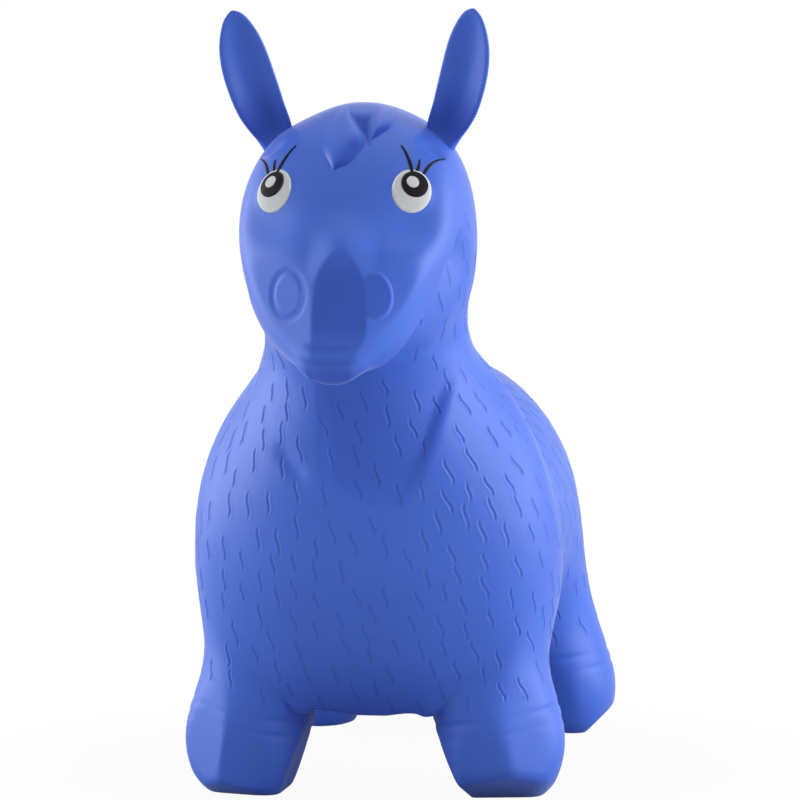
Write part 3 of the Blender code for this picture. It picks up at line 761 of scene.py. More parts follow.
def along(values, t):
    # a smooth curve through evenly weighted table rows (t from 0 to 1)
    table = np.array(values, float)
    place = t * (len(table) - 1)
    k = int(min(max(math.floor(place), 0), len(table) - 2))
    f = place - k
    p0, p1, p2, p3 = table[max(k - 1, 0)], table[k], table[k + 1], table[min(k + 2, len(table) - 1)]
    return 0.5 * (2 * p1 + (p2 - p0) * f + (2 * p0 - 5 * p1 + 4 * p2 - p3) * f * f
                  + (3 * p1 - p0 - 3 * p2 + p3) * f ** 3)


# Ears: leaves with a rim, hollowed in front

ear = {
    "root": (0.0562, -0.2160, 0.4440), "tip": (0.0812, -0.2408, 0.5335),   # on the left of the horse
    # share of the length, half width, thickness behind, thickness in front, hollow
    "leaf": ((-0.16, 0.0125, 0.0085, 0.0085, 0.0),
             (-0.04, 0.0108, 0.0080, 0.0078, 0.0006),
             (0.07, 0.0122, 0.0076, 0.0070, 0.0050),
             (0.18, 0.0146, 0.0072, 0.0060, 0.0092),
             (0.32, 0.0162, 0.0070, 0.0052, 0.0098),
             (0.47, 0.0167, 0.0067, 0.0046, 0.0086),
             (0.62, 0.0163, 0.0062, 0.0042, 0.0074),
             (0.76, 0.0144, 0.0056, 0.0038, 0.0060),
             (0.88, 0.0106, 0.0045, 0.0032, 0.0040),
             (0.96, 0.0062, 0.0031, 0.0024, 0.0016),
             (1.00, 0.0012, 0.0012, 0.0010, 0.0)),
    "cupTurn": -12.0, "sweep": 0.0050, "rows": 64, "round": 56, "rootIn": 0.0022, "rootDim": 0.70,
}

for side, name in ((1, "left_ear"), (-1, "right_ear")):
    root, tip = (Vector((side * x, y + standY, z)) for x, y, z in (ear["root"], ear["tip"]))
    spine = tip - root
    lengthwise = spine.normalized()
    facing = Vector((side * math.sin(math.radians(ear["cupTurn"])), -math.cos(math.radians(ear["cupTurn"])), 0))
    facing = (facing - lengthwise * facing.dot(lengthwise)).normalized()
    across = lengthwise.cross(facing).normalized() * side
    rows = []
    for r in range(ear["rows"] + 1):
        share, half, behind, before, hollow = along(ear["leaf"], r / ear["rows"])
        bow = ear["sweep"] * math.sin(math.pi * min(max(share, 0), 1)) * side
        middle = root + spine * share + Vector((bow, 0, 0)) * 0.6 - facing * 0.3 * abs(bow)
        middle -= Vector((side * ear["rootIn"], 0, 0)) * float(rampDown(share, 0.30, 0.25))
        ring = []
        for k in range(ear["round"]):
            angle = 2 * math.pi * k / ear["round"]
            u, lift = math.cos(angle), math.sin(angle)
            deep = before * lift - hollow * (1 - u * u) ** 1.5 if lift > 0 else behind * lift
            ring.append(middle + across * half * u + facing * deep)
        rows.append(ring)
    mesh = sheetMesh(name + "Skin", rows, closed=True, capStart=True, capEnd=True)
    # painted shade on the front of each ear, darker toward its root
    share = (readRows(mesh.vertices, "co") - np.array(root)) @ np.array(spine) / spine.length_squared
    toFront = readRows(mesh.vertices, "normal") @ np.array(facing)
    shade = ear["rootDim"] * rampDown(share, 0.52, 0.40) * rampUp(share, 0.02, 0.10) * ease(toFront / 0.5)
    painted(mesh, "hollow", shade)
    obj = dressed(name + "Skin", mesh, vinylMat)
    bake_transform(obj, "head", name, start=root + spine * 0.02, end=root + spine * 0.34)
    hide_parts(name, name + "_root")
print("ears shaped")


# Printed eyes with three lashes, lying on the skin

eyes = {
    "half": (0.0130, 0.0160), "tilt": -22.0, "irisAt": (0.0024, 0.0042), "iris": (0.0090, 0.0096),
    "shineAt": (-0.0013, 0.0056), "shine": (0.0040, 0.0042), "proud": 0.00022,
    "lashes": (((0.0450, 0.4262), (0.0425, 0.4330), (0.0385, 0.4400), (0.0352, 0.4440)),
               ((0.0478, 0.4272), (0.0484, 0.4305), (0.0483, 0.4345)),
               ((0.0520, 0.4252), (0.0545, 0.4305), (0.0580, 0.4338), (0.0622, 0.4352))),
    "lashHalf": 0.00130, "lashSteps": 14, "rings": 8, "spokes": 48,
    "white": (0.62, 0.64, 0.66, 1), "black": (0.0060, 0.0055, 0.0085, 1), "gloss": 0.42,
}


def printMaterial(name, colour, dusk):
    mat, shader, sock = newMaterial(name)
    place = sock.node("ShaderNodeTexCoord", out=3)
    ink = sock.node("ShaderNodeTexNoise", Vector=place, Scale=420.0, Detail=3.0)
    feed(shader, ink.between(0.25, 0.75).mix(dusk, colour), "Base Color")
    feed(shader, eyes["gloss"] + 0.12 * ink, "Roughness")
    feed(shader, sock.node("ShaderNodeBump", Strength=0.08, Distance=0.0002, Height=ink), "Normal")
    shader.inputs["Specular IOR Level"].default_value = 0.10
    return mat


whiteInk = printMaterial("whiteInk", eyes["white"], tuple(0.93 * c for c in eyes["white"][:3]) + (1,))
blackInk = printMaterial("blackInk", eyes["black"], tuple(1.6 * c for c in eyes["black"][:3]) + (1,))


def ovalPatch(work, centre, half, turn, base, across, upward, outward, lift, matIndex):
    rings, spokes = eyes["rings"], eyes["spokes"]
    grid = []
    for r in range(rings + 2):
        share = r / rings if r <= rings else 1.012   # the last ring is tucked into the skin
        row = []
        for k in range(spokes):
            a = 2 * math.pi * k / spokes
            u, v = half[0] * share * math.cos(a), half[1] * share * math.sin(a)
            u, v = u * math.cos(turn) - v * math.sin(turn), u * math.sin(turn) + v * math.cos(turn)
            spot = base + across * (centre[0] + u) + upward * (centre[1] + v)
            hit, normal = clay.cast(spot, -outward)
            row.append(work.verts.new(hit + normal * (lift if r <= rings else -0.0004)))
        grid.append(row)
    for low, high in zip(grid, grid[1:]):
        for k in range(spokes):
            n = (k + 1) % spokes
            work.faces.new((low[k], low[n], high[n], high[k])).material_index = matIndex


for side, name in ((1, "left_eye"), (-1, "right_eye")):
    base = clay.onFace(side, face["eye"])
    outward = Vector((side * 0.46, -0.82, 0.34)).normalized()
    across = Vector((0, 0, 1)).cross(outward).normalized()
    across = across if across.x > 0 else -across
    upward = outward.cross(across).normalized()
    upward = upward if upward.z > 0 else -upward
    tilt = math.radians(eyes["tilt"]) * side
    work = bmesh.new()
    for layer, (centre, half, matIndex) in enumerate((((0, 0), eyes["half"], 0), (eyes["irisAt"], eyes["iris"], 1),
                                                      (eyes["shineAt"], eyes["shine"], 0))):
        # the glint sits on the same side of both irises, as printed from one plate
        centre = (centre[0] * (side if layer < 2 else 1) + (eyes["irisAt"][0] * side if layer == 2 else 0), centre[1])
        ovalPatch(work, centre, half, tilt, base, across, upward, outward, eyes["proud"] * (layer + 1), matIndex)
    for lash in eyes["lashes"]:
        rows = []
        for r in range(eyes["lashSteps"] + 1):
            t = r / eyes["lashSteps"]
            x, z = along(lash, t)
            ahead = along(lash, min(t + 0.03, 1)) - along(lash, max(t - 0.03, 0))
            cross = np.array((-ahead[1], ahead[0])) / max(np.hypot(*ahead), 1e-9)
            half = eyes["lashHalf"] * (1 - 0.70 * t) * (0.75 + 0.25 * math.sin(math.pi * min(3 * t, 1) / 2))
            row = []
            for aside, lift in ((-1.15, -0.0003), (-0.8, 1), (0.0, 1.25), (0.8, 1), (1.15, -0.0003)):
                spot = clay.front(side * (x + cross[0] * half * aside), z + cross[1] * half * aside)
                row.append(spot + Vector((side * 0.3, -0.75, 0.58)) * (lift if lift < 0 else lift * eyes["proud"] * 2))
            rows.append([work.verts.new(p) for p in row])
        for low, high in zip(rows, rows[1:]):
            for k in range(len(low) - 1):
                work.faces.new((low[k], low[k + 1], high[k + 1], high[k])).material_index = 1
    bmesh.ops.remove_doubles(work, verts=work.verts, dist=1e-7)
    for f in work.faces:
        f.normal_update()
        if f.normal.dot(outward) < 0:
            f.normal_flip()
    mesh = bpy.data.meshes.new(name + "Print")
    work.to_mesh(mesh)
    work.free()
    obj = dressed(name + "Print", mesh, whiteInk, blackInk)
    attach(obj, "head")
    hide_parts(name)
print("eyes printed")


# Hair in relief: pointed locks that lie on the skin, higher along a crest

def lock(rows, count, wide, sink=0.0008):
    # rows hold the left edge (x, z), the right edge (x, z), where the crest runs (-1 to 1) and its height
    table = [tuple(left) + tuple(right) + (crest, height) for left, right, crest, height in rows]
    points = []
    for r in range(count + 1):
        x0, z0, x1, z1, crest, height = along(table, r / count)
        row = []
        for k in range(wide + 1):
            u = 2 * k / wide - 1
            hit, normal = clay.castFront(x0 + (x1 - x0) * (u + 1) / 2, z0 + (z1 - z0) * (u + 1) / 2)
            rise = (u + 1) / (crest + 1) if u < crest else (1 - u) / (1 - crest)
            row.append(hit + normal * (height * float(ease(rise * 0.92 + 0.08 * (rise > 0))) - sink))
        points.append(row)
    return points


forelock = {
    "leftLock": (((-0.0130, 0.4715), (-0.0045, 0.4712), 0.40, 0.0010),
                 ((-0.0190, 0.4640), (0.0015, 0.4615), 0.45, 0.0026),
                 ((-0.0225, 0.4545), (0.0150, 0.4470), 0.22, 0.0042),
                 ((-0.0200, 0.4440), (0.0125, 0.4375), -0.10, 0.0039),
                 ((-0.0140, 0.4360), (0.0066, 0.4305), -0.30, 0.0030),
                 ((-0.0080, 0.4285), (-0.0042, 0.4275), -0.10, 0.0010)),
    "rightLock": (((0.0135, 0.4695), (0.0310, 0.4660), -0.70, 0.0010),
                  ((0.0140, 0.4615), (0.0310, 0.4590), -0.70, 0.0030),
                  ((0.0141, 0.4540), (0.0265, 0.4535), -0.60, 0.0034),
                  ((0.0140, 0.4468), (0.0160, 0.4473), -0.20, 0.0008)),
    "shadeSide": (0.55, -0.20, -0.81),
    "rows": 36, "wide": 24,
}

for name in ("leftLock", "rightLock"):
    rows = lock(forelock[name], forelock["rows"], forelock["wide"])
    mesh = sheetMesh("forelock", rows)
    if sum(p.normal.z - p.normal.y for p in mesh.polygons) < 0:
        mesh.flip_normals()
    # painted shade on the side of each lock that faces shadeSide, away from the light
    lean = readRows(mesh.vertices, "normal") @ np.array(forelock["shadeSide"])
    painted(mesh, "hollow", rampUp(lean, -0.36, 0.34))
    obj = dressed("forelock_" + name, mesh, vinylMat)
    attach(obj, "head")

mane = {
    "path": ((-0.174, 0.470), (-0.156, 0.462), (-0.140, 0.438), (-0.130, 0.398), (-0.126, 0.358), (-0.115, 0.320),
             (-0.096, 0.291)),
    "half": (0.0060, 0.0140, 0.0165, 0.0165, 0.0160, 0.0130, 0.0020),
    "height": (0.0008, 0.0075, 0.0105, 0.0110, 0.0105, 0.0080, 0.0004),
    "rows": 110, "wide": 44, "waves": 4.2, "strands": 3.0, "cut": 0.0022, "scallops": 6.0,
    "tufts": 6, "tuftLength": 0.046, "tuftHalf": 0.0095, "tuftHeight": 0.0044,
    "tuftStart": (0.10, 0.135, 0.05),   # the first, the step to the next, the shift on the right side
    "tuftRun": 0.20, "tuftRows": 20, "tuftWide": 12,
}


def backOfNeck(t):
    y, z = along(mane["path"], t)
    dy, dz = along(mane["path"], min(t + 0.01, 1)) - along(mane["path"], max(t - 0.01, 0))
    size = math.hypot(dy, dz)
    outward = Vector((0, -dz / size, dy / size))
    outward = outward if outward.y + outward.z > 0 else -outward
    return Vector((0, y + standY, z)), Vector((0, dy / size, dz / size)), outward


rows = []
for r in range(mane["rows"] + 1):
    t = r / mane["rows"]
    spot, heading, outward = backOfNeck(t)
    beat = (t * mane["scallops"]) % 1
    half = float(along([(v,) for v in mane["half"]], t)[0]) * (0.86 + 0.24 * math.sin(math.pi * beat) ** 0.6)
    tall = float(along([(v,) for v in mane["height"]], t)[0])
    row = []
    for k in range(mane["wide"] + 1):
        u = 2 * k / mane["wide"] - 1
        hit, normal = clay.cast(spot + Vector((u * half, 0, 0)), -outward)
        phase = mane["strands"] * u + 0.55 * math.sin(2 * math.pi * mane["waves"] * t)
        strand = mane["cut"] * (1 - abs(math.sin(math.pi * phase)) ** 0.55) * (1 - u * u)
        row.append(hit + outward * (tall * max(1 - u * u, 0) ** 0.55 - strand * min(tall / 0.006, 1) - 0.0007))
    rows.append(row)
maneParts = [sheetMesh("mane", rows)]
for i in range(mane["tufts"]):
    for side in (1, -1):
        first, step, shift = mane["tuftStart"]
        start = first + step * i + (shift if side < 0 else 0)
        rows = []
        for r in range(mane["tuftRows"] + 1):
            s = r / mane["tuftRows"]
            spot, heading, outward = backOfNeck(min(start + mane["tuftRun"] * s, 1))
            x = side * (0.004 + (mane["tuftLength"] - 0.010) * s ** 0.9)
            half = mane["tuftHalf"] * (math.sin(math.pi * (0.18 + 0.82 * s)) ** 0.8 + 0.02)
            row = []
            for k in range(mane["tuftWide"] + 1):
                u = 2 * k / mane["tuftWide"] - 1
                aside = Vector((side * 0.8, 0, 0)) + outward
                middle = spot + Vector((x, 0, 0)) + heading * u * half
                hit, normal = clay.cast(middle, -aside)
                rise = max(1 - u * u, 0) ** 0.7 - 0.16 * (1 - abs(math.sin(math.pi * (1.5 * u + 0.5 * s))) ** 0.6)
                row.append(hit + normal * (mane["tuftHeight"] * (1 - 0.6 * s) * rise - 0.0006))
            rows.append(row)
        maneParts.append(sheetMesh("tuft", rows))


def joined(name, meshes):
    work = bmesh.new()
    for mesh in meshes:
        work.from_mesh(mesh)
        bpy.data.meshes.remove(mesh)
    mesh = bpy.data.meshes.new(name)
    work.to_mesh(mesh)
    work.free()
    return mesh


neckCut = {"front": (-0.245, 0.262), "back": (-0.122, 0.322), "bendOver": 0.060}
cutFront = Vector((0, neckCut["front"][0] + standY, neckCut["front"][1]))
cutBack = Vector((0, neckCut["back"][0] + standY, neckCut["back"][1]))
cutUp = Vector((0, -(cutBack - cutFront).z, (cutBack - cutFront).y)).normalized()
bendStart = (cutFront + cutBack) / 2
bendEnd = bendStart + cutUp * neckCut["bendOver"]

obj = dressed("mane", joined("mane", maneParts), vinylMat)
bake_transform(obj, "torso", "head", start=bendStart, end=bendEnd)

tail = {
    "path": ((0, 0.186, 0.262), (0, 0.205, 0.255), (0, 0.222, 0.232), (0, 0.2275, 0.202), (0, 0.2240, 0.172),
             (0, 0.2140, 0.147), (0, 0.2060, 0.136)),
    "half": ((0.0090, 0.0060), (0.0140, 0.0095), (0.0180, 0.0125), (0.0195, 0.0135), (0.0170, 0.0120), (0.0100, 0.0080),
             (0.0010, 0.0010)),
    "rows": 90, "round": 60, "strands": 9, "cut": 0.0020, "waves": 2.4,
}

rows = []
for r in range(tail["rows"] + 1):
    t = r / tail["rows"]
    spot = Vector(along(tail["path"], t)) + Vector((0, standY, 0))
    heading = Vector(along(tail["path"], min(t + 0.01, 1)) - along(tail["path"], max(t - 0.01, 0))).normalized()
    halfX, halfY = along(tail["half"], t)
    across = Vector((1, 0, 0))
    outward = across.cross(heading).normalized()
    sway = 0.0035 * math.sin(2 * math.pi * 0.9 * t) * min(4 * t, 1)
    ring = []
    for k in range(tail["round"]):
        a = 2 * math.pi * k / tail["round"]
        phase = tail["strands"] * a / (2 * math.pi) + 0.45 * math.sin(2 * math.pi * tail["waves"] * t)
        cut = 1 - tail["cut"] * (1 - abs(math.sin(math.pi * phase)) ** 0.55) / max(halfX, 0.004)
        ring.append(spot + across * (halfX * math.cos(a) * cut + sway) + outward * halfY * math.sin(a) * cut)
    rows.append(ring)
obj = dressed("tail", sheetMesh("tail", rows, closed=True, capStart=True, capEnd=True), vinylMat)
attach(obj, "torso")
print("hair laid")


# Coat marks: short wavy strokes strewn over the skin, then engraved into it

coat = {
    "gap": 0.0148, "length": 0.0178, "bend": 0.0029, "lean": (-0.42, -0.12), "size": (0.75, 1.15), "seed": 11,
    "flow": (0.0, 0.28, -1.0), "width": 0.0012, "depth": 0.00060, "lip": 0.00022, "points": 22,
    "fineNear": ((0.0052, 0.0019), (0.0030, 0.00095)),   # within this reach of a stroke, wider faces are divided
}


def newTree(name, inputs):
    tree = bpy.data.node_groups.new(name, "GeometryNodeTree")
    tree.interface.new_socket("Geometry", in_out="INPUT", socket_type="NodeSocketGeometry")
    for label, kind in inputs.items():
        tree.interface.new_socket(label, in_out="INPUT", socket_type="NodeSocket" + kind)
    tree.interface.new_socket("Geometry", in_out="OUTPUT", socket_type="NodeSocketGeometry")
    entry, leave = tree.nodes.new("NodeGroupInput"), tree.nodes.new("NodeGroupOutput")
    given = {socket.name: Sock(tree, socket) for socket in entry.outputs if socket.name}
    return tree, given, leave, Sock(tree, None)


def grown(obj, tree, **values):
    mod = obj.modifiers.new(tree.name, "NODES")
    mod.node_group = tree
    for item in tree.interface.items_tree:
        if item.item_type == "SOCKET" and item.in_out == "INPUT" and item.name in values:
            mod[item.identifier] = values[item.name]
    mesh = plainMesh(obj)
    obj.modifiers.remove(mod)
    return mesh


strokeTree, given, leave, kit = newTree("coatStrokes", {
    "Gap": "Float", "Length": "Float", "Bend": "Float", "LeanLow": "Float", "LeanHigh": "Float", "Small": "Float",
    "Large": "Float", "Flow": "Vector", "Seed": "Int", "Finish": "Material"})
here = kit.node("GeometryNodeInputNamedAttribute", {"data_type": "FLOAT"}, Name="coatHere")
spots = kit.node("GeometryNodeDistributePointsOnFaces", {"distribute_method": "POISSON"}, Mesh=given["Geometry"],
                 Distance_Min=given["Gap"], Density_Max=9000.0, Density_Factor=here, Seed=given["Seed"])
standing = kit.node("FunctionNodeAlignRotationToVector", {"axis": "Z"},
                    Vector=Sock(strokeTree, spots.link.node.outputs["Normal"]))
lying = kit.node("FunctionNodeAlignRotationToVector", {"axis": "Y", "pivot_axis": "Z"},
                 Rotation=standing, Vector=given["Flow"])
lean = kit.node("FunctionNodeRandomValue", {"data_type": "FLOAT"}, out=1,
                in2=given["LeanLow"], in3=given["LeanHigh"], Seed=3)
leaned = kit.node("FunctionNodeRotateRotation", {"rotation_space": "LOCAL"}, Rotation=lying,
                  Rotate_By=kit.node("FunctionNodeAxisAngleToRotation", Axis=(0, 0, 1), Angle=lean))
size = kit.node("FunctionNodeRandomValue", {"data_type": "FLOAT"}, out=1,
                in2=given["Small"], in3=given["Large"], Seed=5)
straight = kit.node("GeometryNodeCurvePrimitiveLine", Start=kit.node("ShaderNodeCombineXYZ", Y=-0.5 * given["Length"]),
                    End=kit.node("ShaderNodeCombineXYZ", Y=0.5 * given["Length"]))
stepped = kit.node("GeometryNodeResampleCurve", {"mode": "COUNT"}, Curve=straight, Count=coat["points"])
share = kit.node("GeometryNodeSplineParameter")
swing = (0.5 - share.between(0.20, 0.80)) * 2.0 * given["Bend"]
wavy = kit.node("GeometryNodeSetPosition", Geometry=stepped, Offset=kit.node("ShaderNodeCombineXYZ", X=swing))
thin = share.between(0.0, 0.15) * (1.0 - share.between(0.85, 1.0))
marked = kit.node("GeometryNodeStoreNamedAttribute", {"data_type": "FLOAT", "domain": "POINT"},
                  Geometry=wavy, Name="thin", Value=thin)
strewn = kit.node("GeometryNodeInstanceOnPoints", Points=spots, Instance=marked, Rotation=leaned,
                  Scale=kit.node("ShaderNodeCombineXYZ", X=size, Y=size, Z=size))
real = kit.node("GeometryNodeRealizeInstances", Geometry=strewn)
nearest = kit.node("GeometryNodeProximity", {"target_element": "FACES"}, in0=given["Geometry"])
laid = kit.node("GeometryNodeSetPosition", Geometry=real, Position=nearest)
wire = kit.node("GeometryNodeCurveToMesh", Curve=laid)
done = kit.node("GeometryNodeSetMaterial", Geometry=wire, Material=given["Finish"])
strokeTree.links.new(done.link, leave.inputs[0])

engraveTree, given, leave, kit = newTree("coatEngraved", {
    "Strokes": "Object", "Width": "Float", "Depth": "Float", "Lip": "Float", "Finish": "Material"})
wires = kit.node("GeometryNodeObjectInfo", {"transform_space": "ORIGINAL"}, out=4, Object=given["Strokes"])
spot = kit.node("GeometryNodeInputPosition")
index = kit.node("GeometryNodeSampleNearest", {"domain": "POINT"}, Geometry=wires, Sample_Position=spot)
foot = kit.node("GeometryNodeSampleIndex", {"data_type": "FLOAT_VECTOR", "domain": "POINT"},
                Geometry=wires, Value=spot, Index=index)
thin = kit.node("GeometryNodeSampleIndex", {"data_type": "FLOAT", "domain": "POINT"}, Geometry=wires,
                Value=kit.node("GeometryNodeInputNamedAttribute", {"data_type": "FLOAT"}, Name="thin"), Index=index)
gap = kit.node("ShaderNodeVectorMath", {"operation": "DISTANCE"}, out=1, in0=spot, in1=foot)
far = gap / (given["Width"] * (0.35 + 0.65 * thin))
dug = (1.0 - far.between(0.0, 1.0)) * thin
lip = far.between(0.7, 1.3) * (1.0 - far.between(1.3, 2.2)) * thin
push = given["Lip"] * lip - given["Depth"] * dug
offset = kit.node("ShaderNodeVectorMath", {"operation": "SCALE"}, in0=kit.node("GeometryNodeInputNormal"), Scale=push)
kept = kit.node("GeometryNodeStoreNamedAttribute", {"data_type": "FLOAT", "domain": "POINT"},
                Geometry=given["Geometry"], Name="furDepth", Value=dug)
pressed = kit.node("GeometryNodeSetPosition", Geometry=kept, Offset=offset)
real = kit.node("GeometryNodeRealizeInstances", Geometry=pressed)
done = kit.node("GeometryNodeSetMaterial", Geometry=real, Material=given["Finish"])
engraveTree.links.new(done.link, leave.inputs[0])

# Where the coat shows: not on the face, not below the bands, not on the belly, not under the hair
x, y, z = clay.at.T
jaw = np.array(face["jaw"])[::-1]
onNeck = rampUp(y - np.interp(z, jaw[:, 2], jaw[:, 1]), 0.010, 0.006) * rampDown(z, 0.402, 0.010)
coatHere = np.where(z > 0.300, onNeck, 1.0)
coatHere *= rampUp(np.abs(x) + (z < 0.29) * (y < 0.22), 0.020, 0.004) + ((y < -0.12) & (z < 0.32))
frontTop, rearTop = (height + rise * (np.abs(x) - body["legInside"])
                     for height, rise in (body["bandFront"][0], body["bandRear"][0]))
bandTop = np.where(y < 0.03, frontTop, rearTop)
coatHere *= rampUp(z - bandTop, 0.012, 0.004) * rampUp(clay.out[:, 2], -0.72, 0.10)
painted(skinMesh, "coatHere", np.clip(coatHere, 0, 1))
# the painted shade gathered above, stored as the hollow attribute
painted(skinMesh, "hollow", paintedShade)

skin = dressed("skin", skinMesh, vinylMat)
strokes = linked("coatStrokes", grown(
    skin, strokeTree, Gap=coat["gap"], Length=coat["length"], Bend=coat["bend"], LeanLow=coat["lean"][0],
    LeanHigh=coat["lean"][1], Small=coat["size"][0], Large=coat["size"][1], Flow=coat["flow"], Seed=coat["seed"],
    Finish=vinylMat))
print("coat strokes:", len(strokes.data.vertices) // coat["points"])

strokeSpots = readRows(strokes.data.vertices, "co")
finder = KDTree(len(strokeSpots))
for k, spot in enumerate(strokeSpots):
    finder.insert(spot, k)
finder.balance()
for reach, widest in coat["fineNear"]:
    areas = np.empty(len(skinMesh.polygons))
    skinMesh.polygons.foreach_get("area", areas)
    spots = readRows(skinMesh.polygons, "center")
    refined(skinMesh, [area > widest ** 2 and finder.find(spot)[2] < reach for spot, area in zip(spots, areas)])
skinMesh.polygons.foreach_set("use_smooth", [True] * len(skinMesh.polygons))
fineSkin = grown(skin, engraveTree, Strokes=strokes, Width=coat["width"], Depth=coat["depth"],
                 Lip=coat["lip"], Finish=vinylMat)
dropObject(strokes)
dropObject(skin)
print("coat engraved:", len(fineSkin.polygons), "faces")


# The skin is parted where the real one bends, with its normals kept so that no seam shows

parting = {
    "frontLeg": (0.060, 0.50), "rearLeg": (0.072, 0.50), "legInside": 0.034, "legBend": 0.026,
    "girthY": 0.035, "valveHole": 0.0140,
    "sawReach": 0.02,                    # how far from a cut faces are sawn
    "midGap": 0.008, "midY": 0.04,       # what parts the left legs from the right and the front from the rear
}

work = bmesh.new()
work.from_mesh(fineSkin)
normalKeeper = work.verts.layers.float_vector.new("smoothNormal")
for vert in work.verts:
    vert[normalKeeper] = vert.normal


def sawn(spot, facing, picked):
    faces = [f for f in work.faces if picked(f.calc_center_median())]
    geom = list({v for f in faces for v in f.verts}) + list({e for f in faces for e in f.edges}) + faces
    bmesh.ops.bisect_plane(work, geom=geom, dist=1e-6, plane_co=spot, plane_no=facing)


legCuts = {}
for name, (inside, rise), isFront in (("front", parting["frontLeg"], True), ("rear", parting["rearLeg"], False)):
    for side, sideName in ((1, "left"), (-1, "right")):
        facing = Vector((-rise * side, 0, 1)).normalized()
        legCuts[name + "_" + sideName] = (Vector((side * parting["legInside"], 0, inside)), facing, side, isFront)
sawn(bendStart, cutUp, lambda c: abs((c - bendStart).dot(cutUp)) < parting["sawReach"] and c.z > 0.2)
for spot, facing, side, isFront in legCuts.values():
    sawn(spot, facing, lambda c: c.x * side > parting["midGap"] and (c.y < parting["midY"]) == isFront
         and abs((c - spot).dot(facing)) < parting["sawReach"])
sawn(Vector((0, parting["girthY"], 0)), Vector((0, 1, 0)), lambda c: abs(c.y - parting["girthY"]) < parting["sawReach"])

work.verts.index_update()
places = np.array([v.co for v in work.verts])
normals = np.array([v[normalKeeper] for v in work.verts])
depthLayer = work.verts.layers.float["furDepth"]
depths = np.array([v[depthLayer] for v in work.verts])
# the painted shade, carried over to the parted pieces
paintedShadeLayer = work.verts.layers.float["hollow"]
paintedShades = np.array([v[paintedShadeLayer] for v in work.verts])
faceVerts = [[v.index for v in f.verts] for f in work.faces]
middles = np.array([f.calc_center_median() for f in work.faces])
work.free()
bpy.data.meshes.remove(fineSkin)

kind = np.where(middles[:, 1] < parting["girthY"], "fore", "hind").astype(object)
kind = np.where(middles[:, 0] > 0, kind + "_left", kind + "_right")
onHead = (middles - np.array(bendStart)) @ np.array(cutUp) > 0
kind[onHead] = np.where(middles[onHead, 0] > 0, "head_left", "head_right")
for name, (spot, facing, side, isFront) in legCuts.items():
    below = ((middles - np.array(spot)) @ np.array(facing) < 0) & (middles[:, 0] * side > parting["midGap"])
    kind[below & ((middles[:, 1] < parting["midY"]) == isFront)] = name + "_leg"
# a round hole for the valve: the edge of the faces taken out is drawn onto a circle
hole = np.array(body["valve"])
opened = (np.linalg.norm(middles[:, :2] - hole, axis=1) < parting["valveHole"]) & (middles[:, 2] < 0.11)
around = np.array(sorted({v for k in np.flatnonzero(opened) for v in faceVerts[k]}))
spokes = places[around, :2] - hole
places[around, :2] = hole + spokes / np.linalg.norm(spokes, axis=1)[:, None].clip(1e-6) * parting["valveHole"]


def skinPiece(name, picked):
    used = [faceVerts[k] for k in np.flatnonzero(picked)]
    order = np.unique(np.concatenate([np.array(f) for f in used]))
    back = np.full(len(places), -1)
    back[order] = np.arange(len(order))
    mesh = bpy.data.meshes.new(name)
    mesh.from_pydata(places[order].tolist(), [], [back[f].tolist() for f in used])
    painted(mesh, "furDepth", depths[order])
    painted(mesh, "hollow", paintedShades[order])
    obj = dressed(name, mesh, vinylMat)
    print(name, sum(len(f) - 2 for f in used), "triangles")
    mesh.normals_split_custom_set_from_vertices(normals[order].tolist())
    return obj


for part in ("fore_left", "fore_right", "hind_left", "hind_right"):
    obj = skinPiece(part + "Skin", (kind == part) & ~opened)
    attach(obj, "torso")
    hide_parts("torso")
for part in ("head_left", "head_right"):
    obj = skinPiece(part + "Skin", kind == part)
    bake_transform(obj, "torso", "head", start=bendStart, end=bendEnd)
    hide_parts("head", "neck")
for name, (spot, facing, side, isFront) in legCuts.items():
    obj = skinPiece(name + "_legSkin", kind == name + "_leg")
    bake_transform(obj, "torso", name + "_hoof", start=spot, end=spot - facing * parting["legBend"])
    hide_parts(name + "_leg", name + "_hoof")
print("skin parted")


# The air valve under the belly: a moulded collar in the skin, and the plug that is pulled out of it

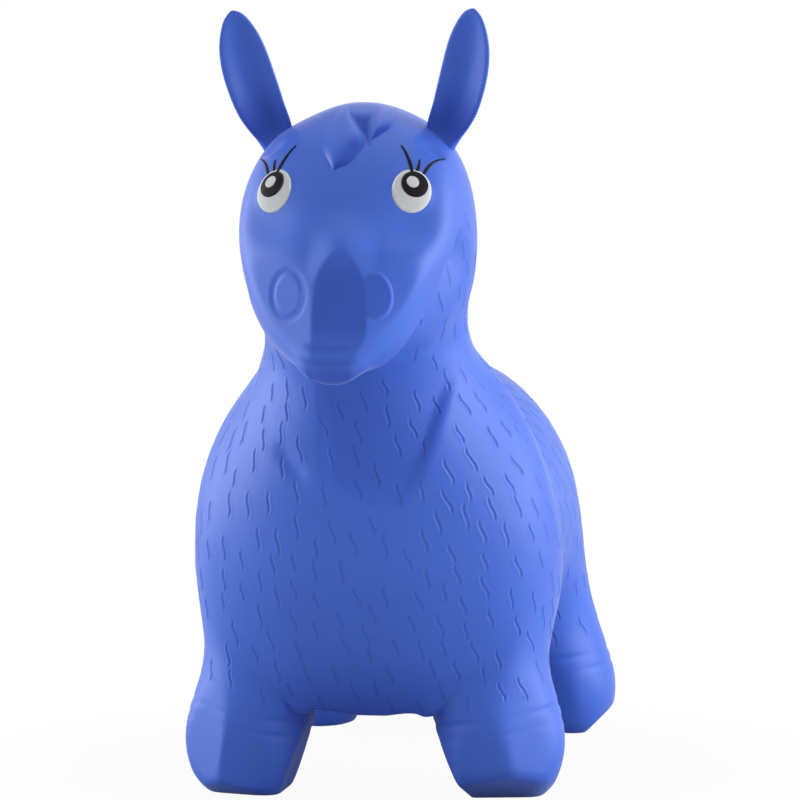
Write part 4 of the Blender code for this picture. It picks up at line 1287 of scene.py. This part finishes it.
valve = {
    # radius and height of each turned edge
    "collar": ((0.0152, 0.0905), (0.0152, 0.0872), (0.0150, 0.0858), (0.0144, 0.0849), (0.0136, 0.0846),
               (0.0129, 0.0849), (0.0125, 0.0857), (0.0123, 0.0876), (0.0120, 0.0880), (0.0092, 0.0881),
               (0.0062, 0.0881), (0.0058, 0.0885), (0.0057, 0.0910), (0.0057, 0.1050), (0.0050, 0.1060), (0.0, 0.1060)),
    "plug": ((0.0, 0.0829), (0.0022, 0.0829), (0.0034, 0.0830), (0.0040, 0.0833), (0.0042, 0.0839), (0.0042, 0.0847),
             (0.0046, 0.0852), (0.0060, 0.0853), (0.0098, 0.0853), (0.0106, 0.0855), (0.0110, 0.0861), (0.0110, 0.0871),
             (0.0106, 0.0877), (0.0098, 0.0878), (0.0062, 0.0878), (0.0055, 0.0880), (0.0053, 0.0886), (0.0053, 0.0940),
             (0.0054, 0.0950), (0.0054, 0.0960), (0.0053, 0.0970), (0.0053, 0.1000), (0.0050, 0.1012), (0.0038, 0.1027),
             (0.0022, 0.1028), (0.0, 0.1028)),
    "ribs": 18, "ribCut": 0.0005, "ribFrom": 0.0103, "round": 72,
    "white": (0.56, 0.58, 0.61, 1), "dusk": (0.47, 0.49, 0.52, 1), "gloss": 0.36,
}


def turnedMesh(name, profile, ribbed=False):
    plugLow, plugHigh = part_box("air_plug")
    middle = (plugLow + plugHigh) / 2
    rows = []
    for radius, height in profile:
        ring = []
        for k in range(valve["round"]):
            a = 2 * math.pi * k / valve["round"]
            r = radius
            if ribbed and radius > valve["ribFrom"]:
                r -= valve["ribCut"] * (1 - abs(math.sin(0.5 * valve["ribs"] * a)) ** 0.5)
            ring.append((middle.x + r * math.cos(a), middle.y + r * math.sin(a), height))
        rows.append(ring)
    return sheetMesh(name, rows, closed=True)


collarMesh = turnedMesh("valve_collar", valve["collar"])
lipFace = min(collarMesh.polygons, key=lambda p: p.center.z)
if lipFace.normal.z > 0:
    collarMesh.flip_normals()
obj = dressed("valve_collar", collarMesh, vinylMat)
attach(obj, "torso")

plugMat, plugShader, plugSock = newMaterial("whitePlug")
place = plugSock.node("ShaderNodeTexCoord", out=3)
haze = plugSock.node("ShaderNodeTexNoise", Vector=place, Scale=160.0, Detail=4.0)
scuff = plugSock.node("ShaderNodeTexNoise", Vector=place, Scale=1400.0, Detail=2.0)
feed(plugShader, haze.between(0.3, 0.7).mix(valve["dusk"], valve["white"]), "Base Color")
feed(plugShader, valve["gloss"] + 0.16 * haze, "Roughness")
feed(plugShader, plugSock.node("ShaderNodeBump", Strength=0.12, Distance=0.0002, Height=scuff), "Normal")
obj = dressed("air_plugMoulded", turnedMesh("air_plugMoulded", valve["plug"], ribbed=True), plugMat)
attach(obj, "air_plug")
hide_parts("air_plug")
print("valve fitted")

low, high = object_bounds()
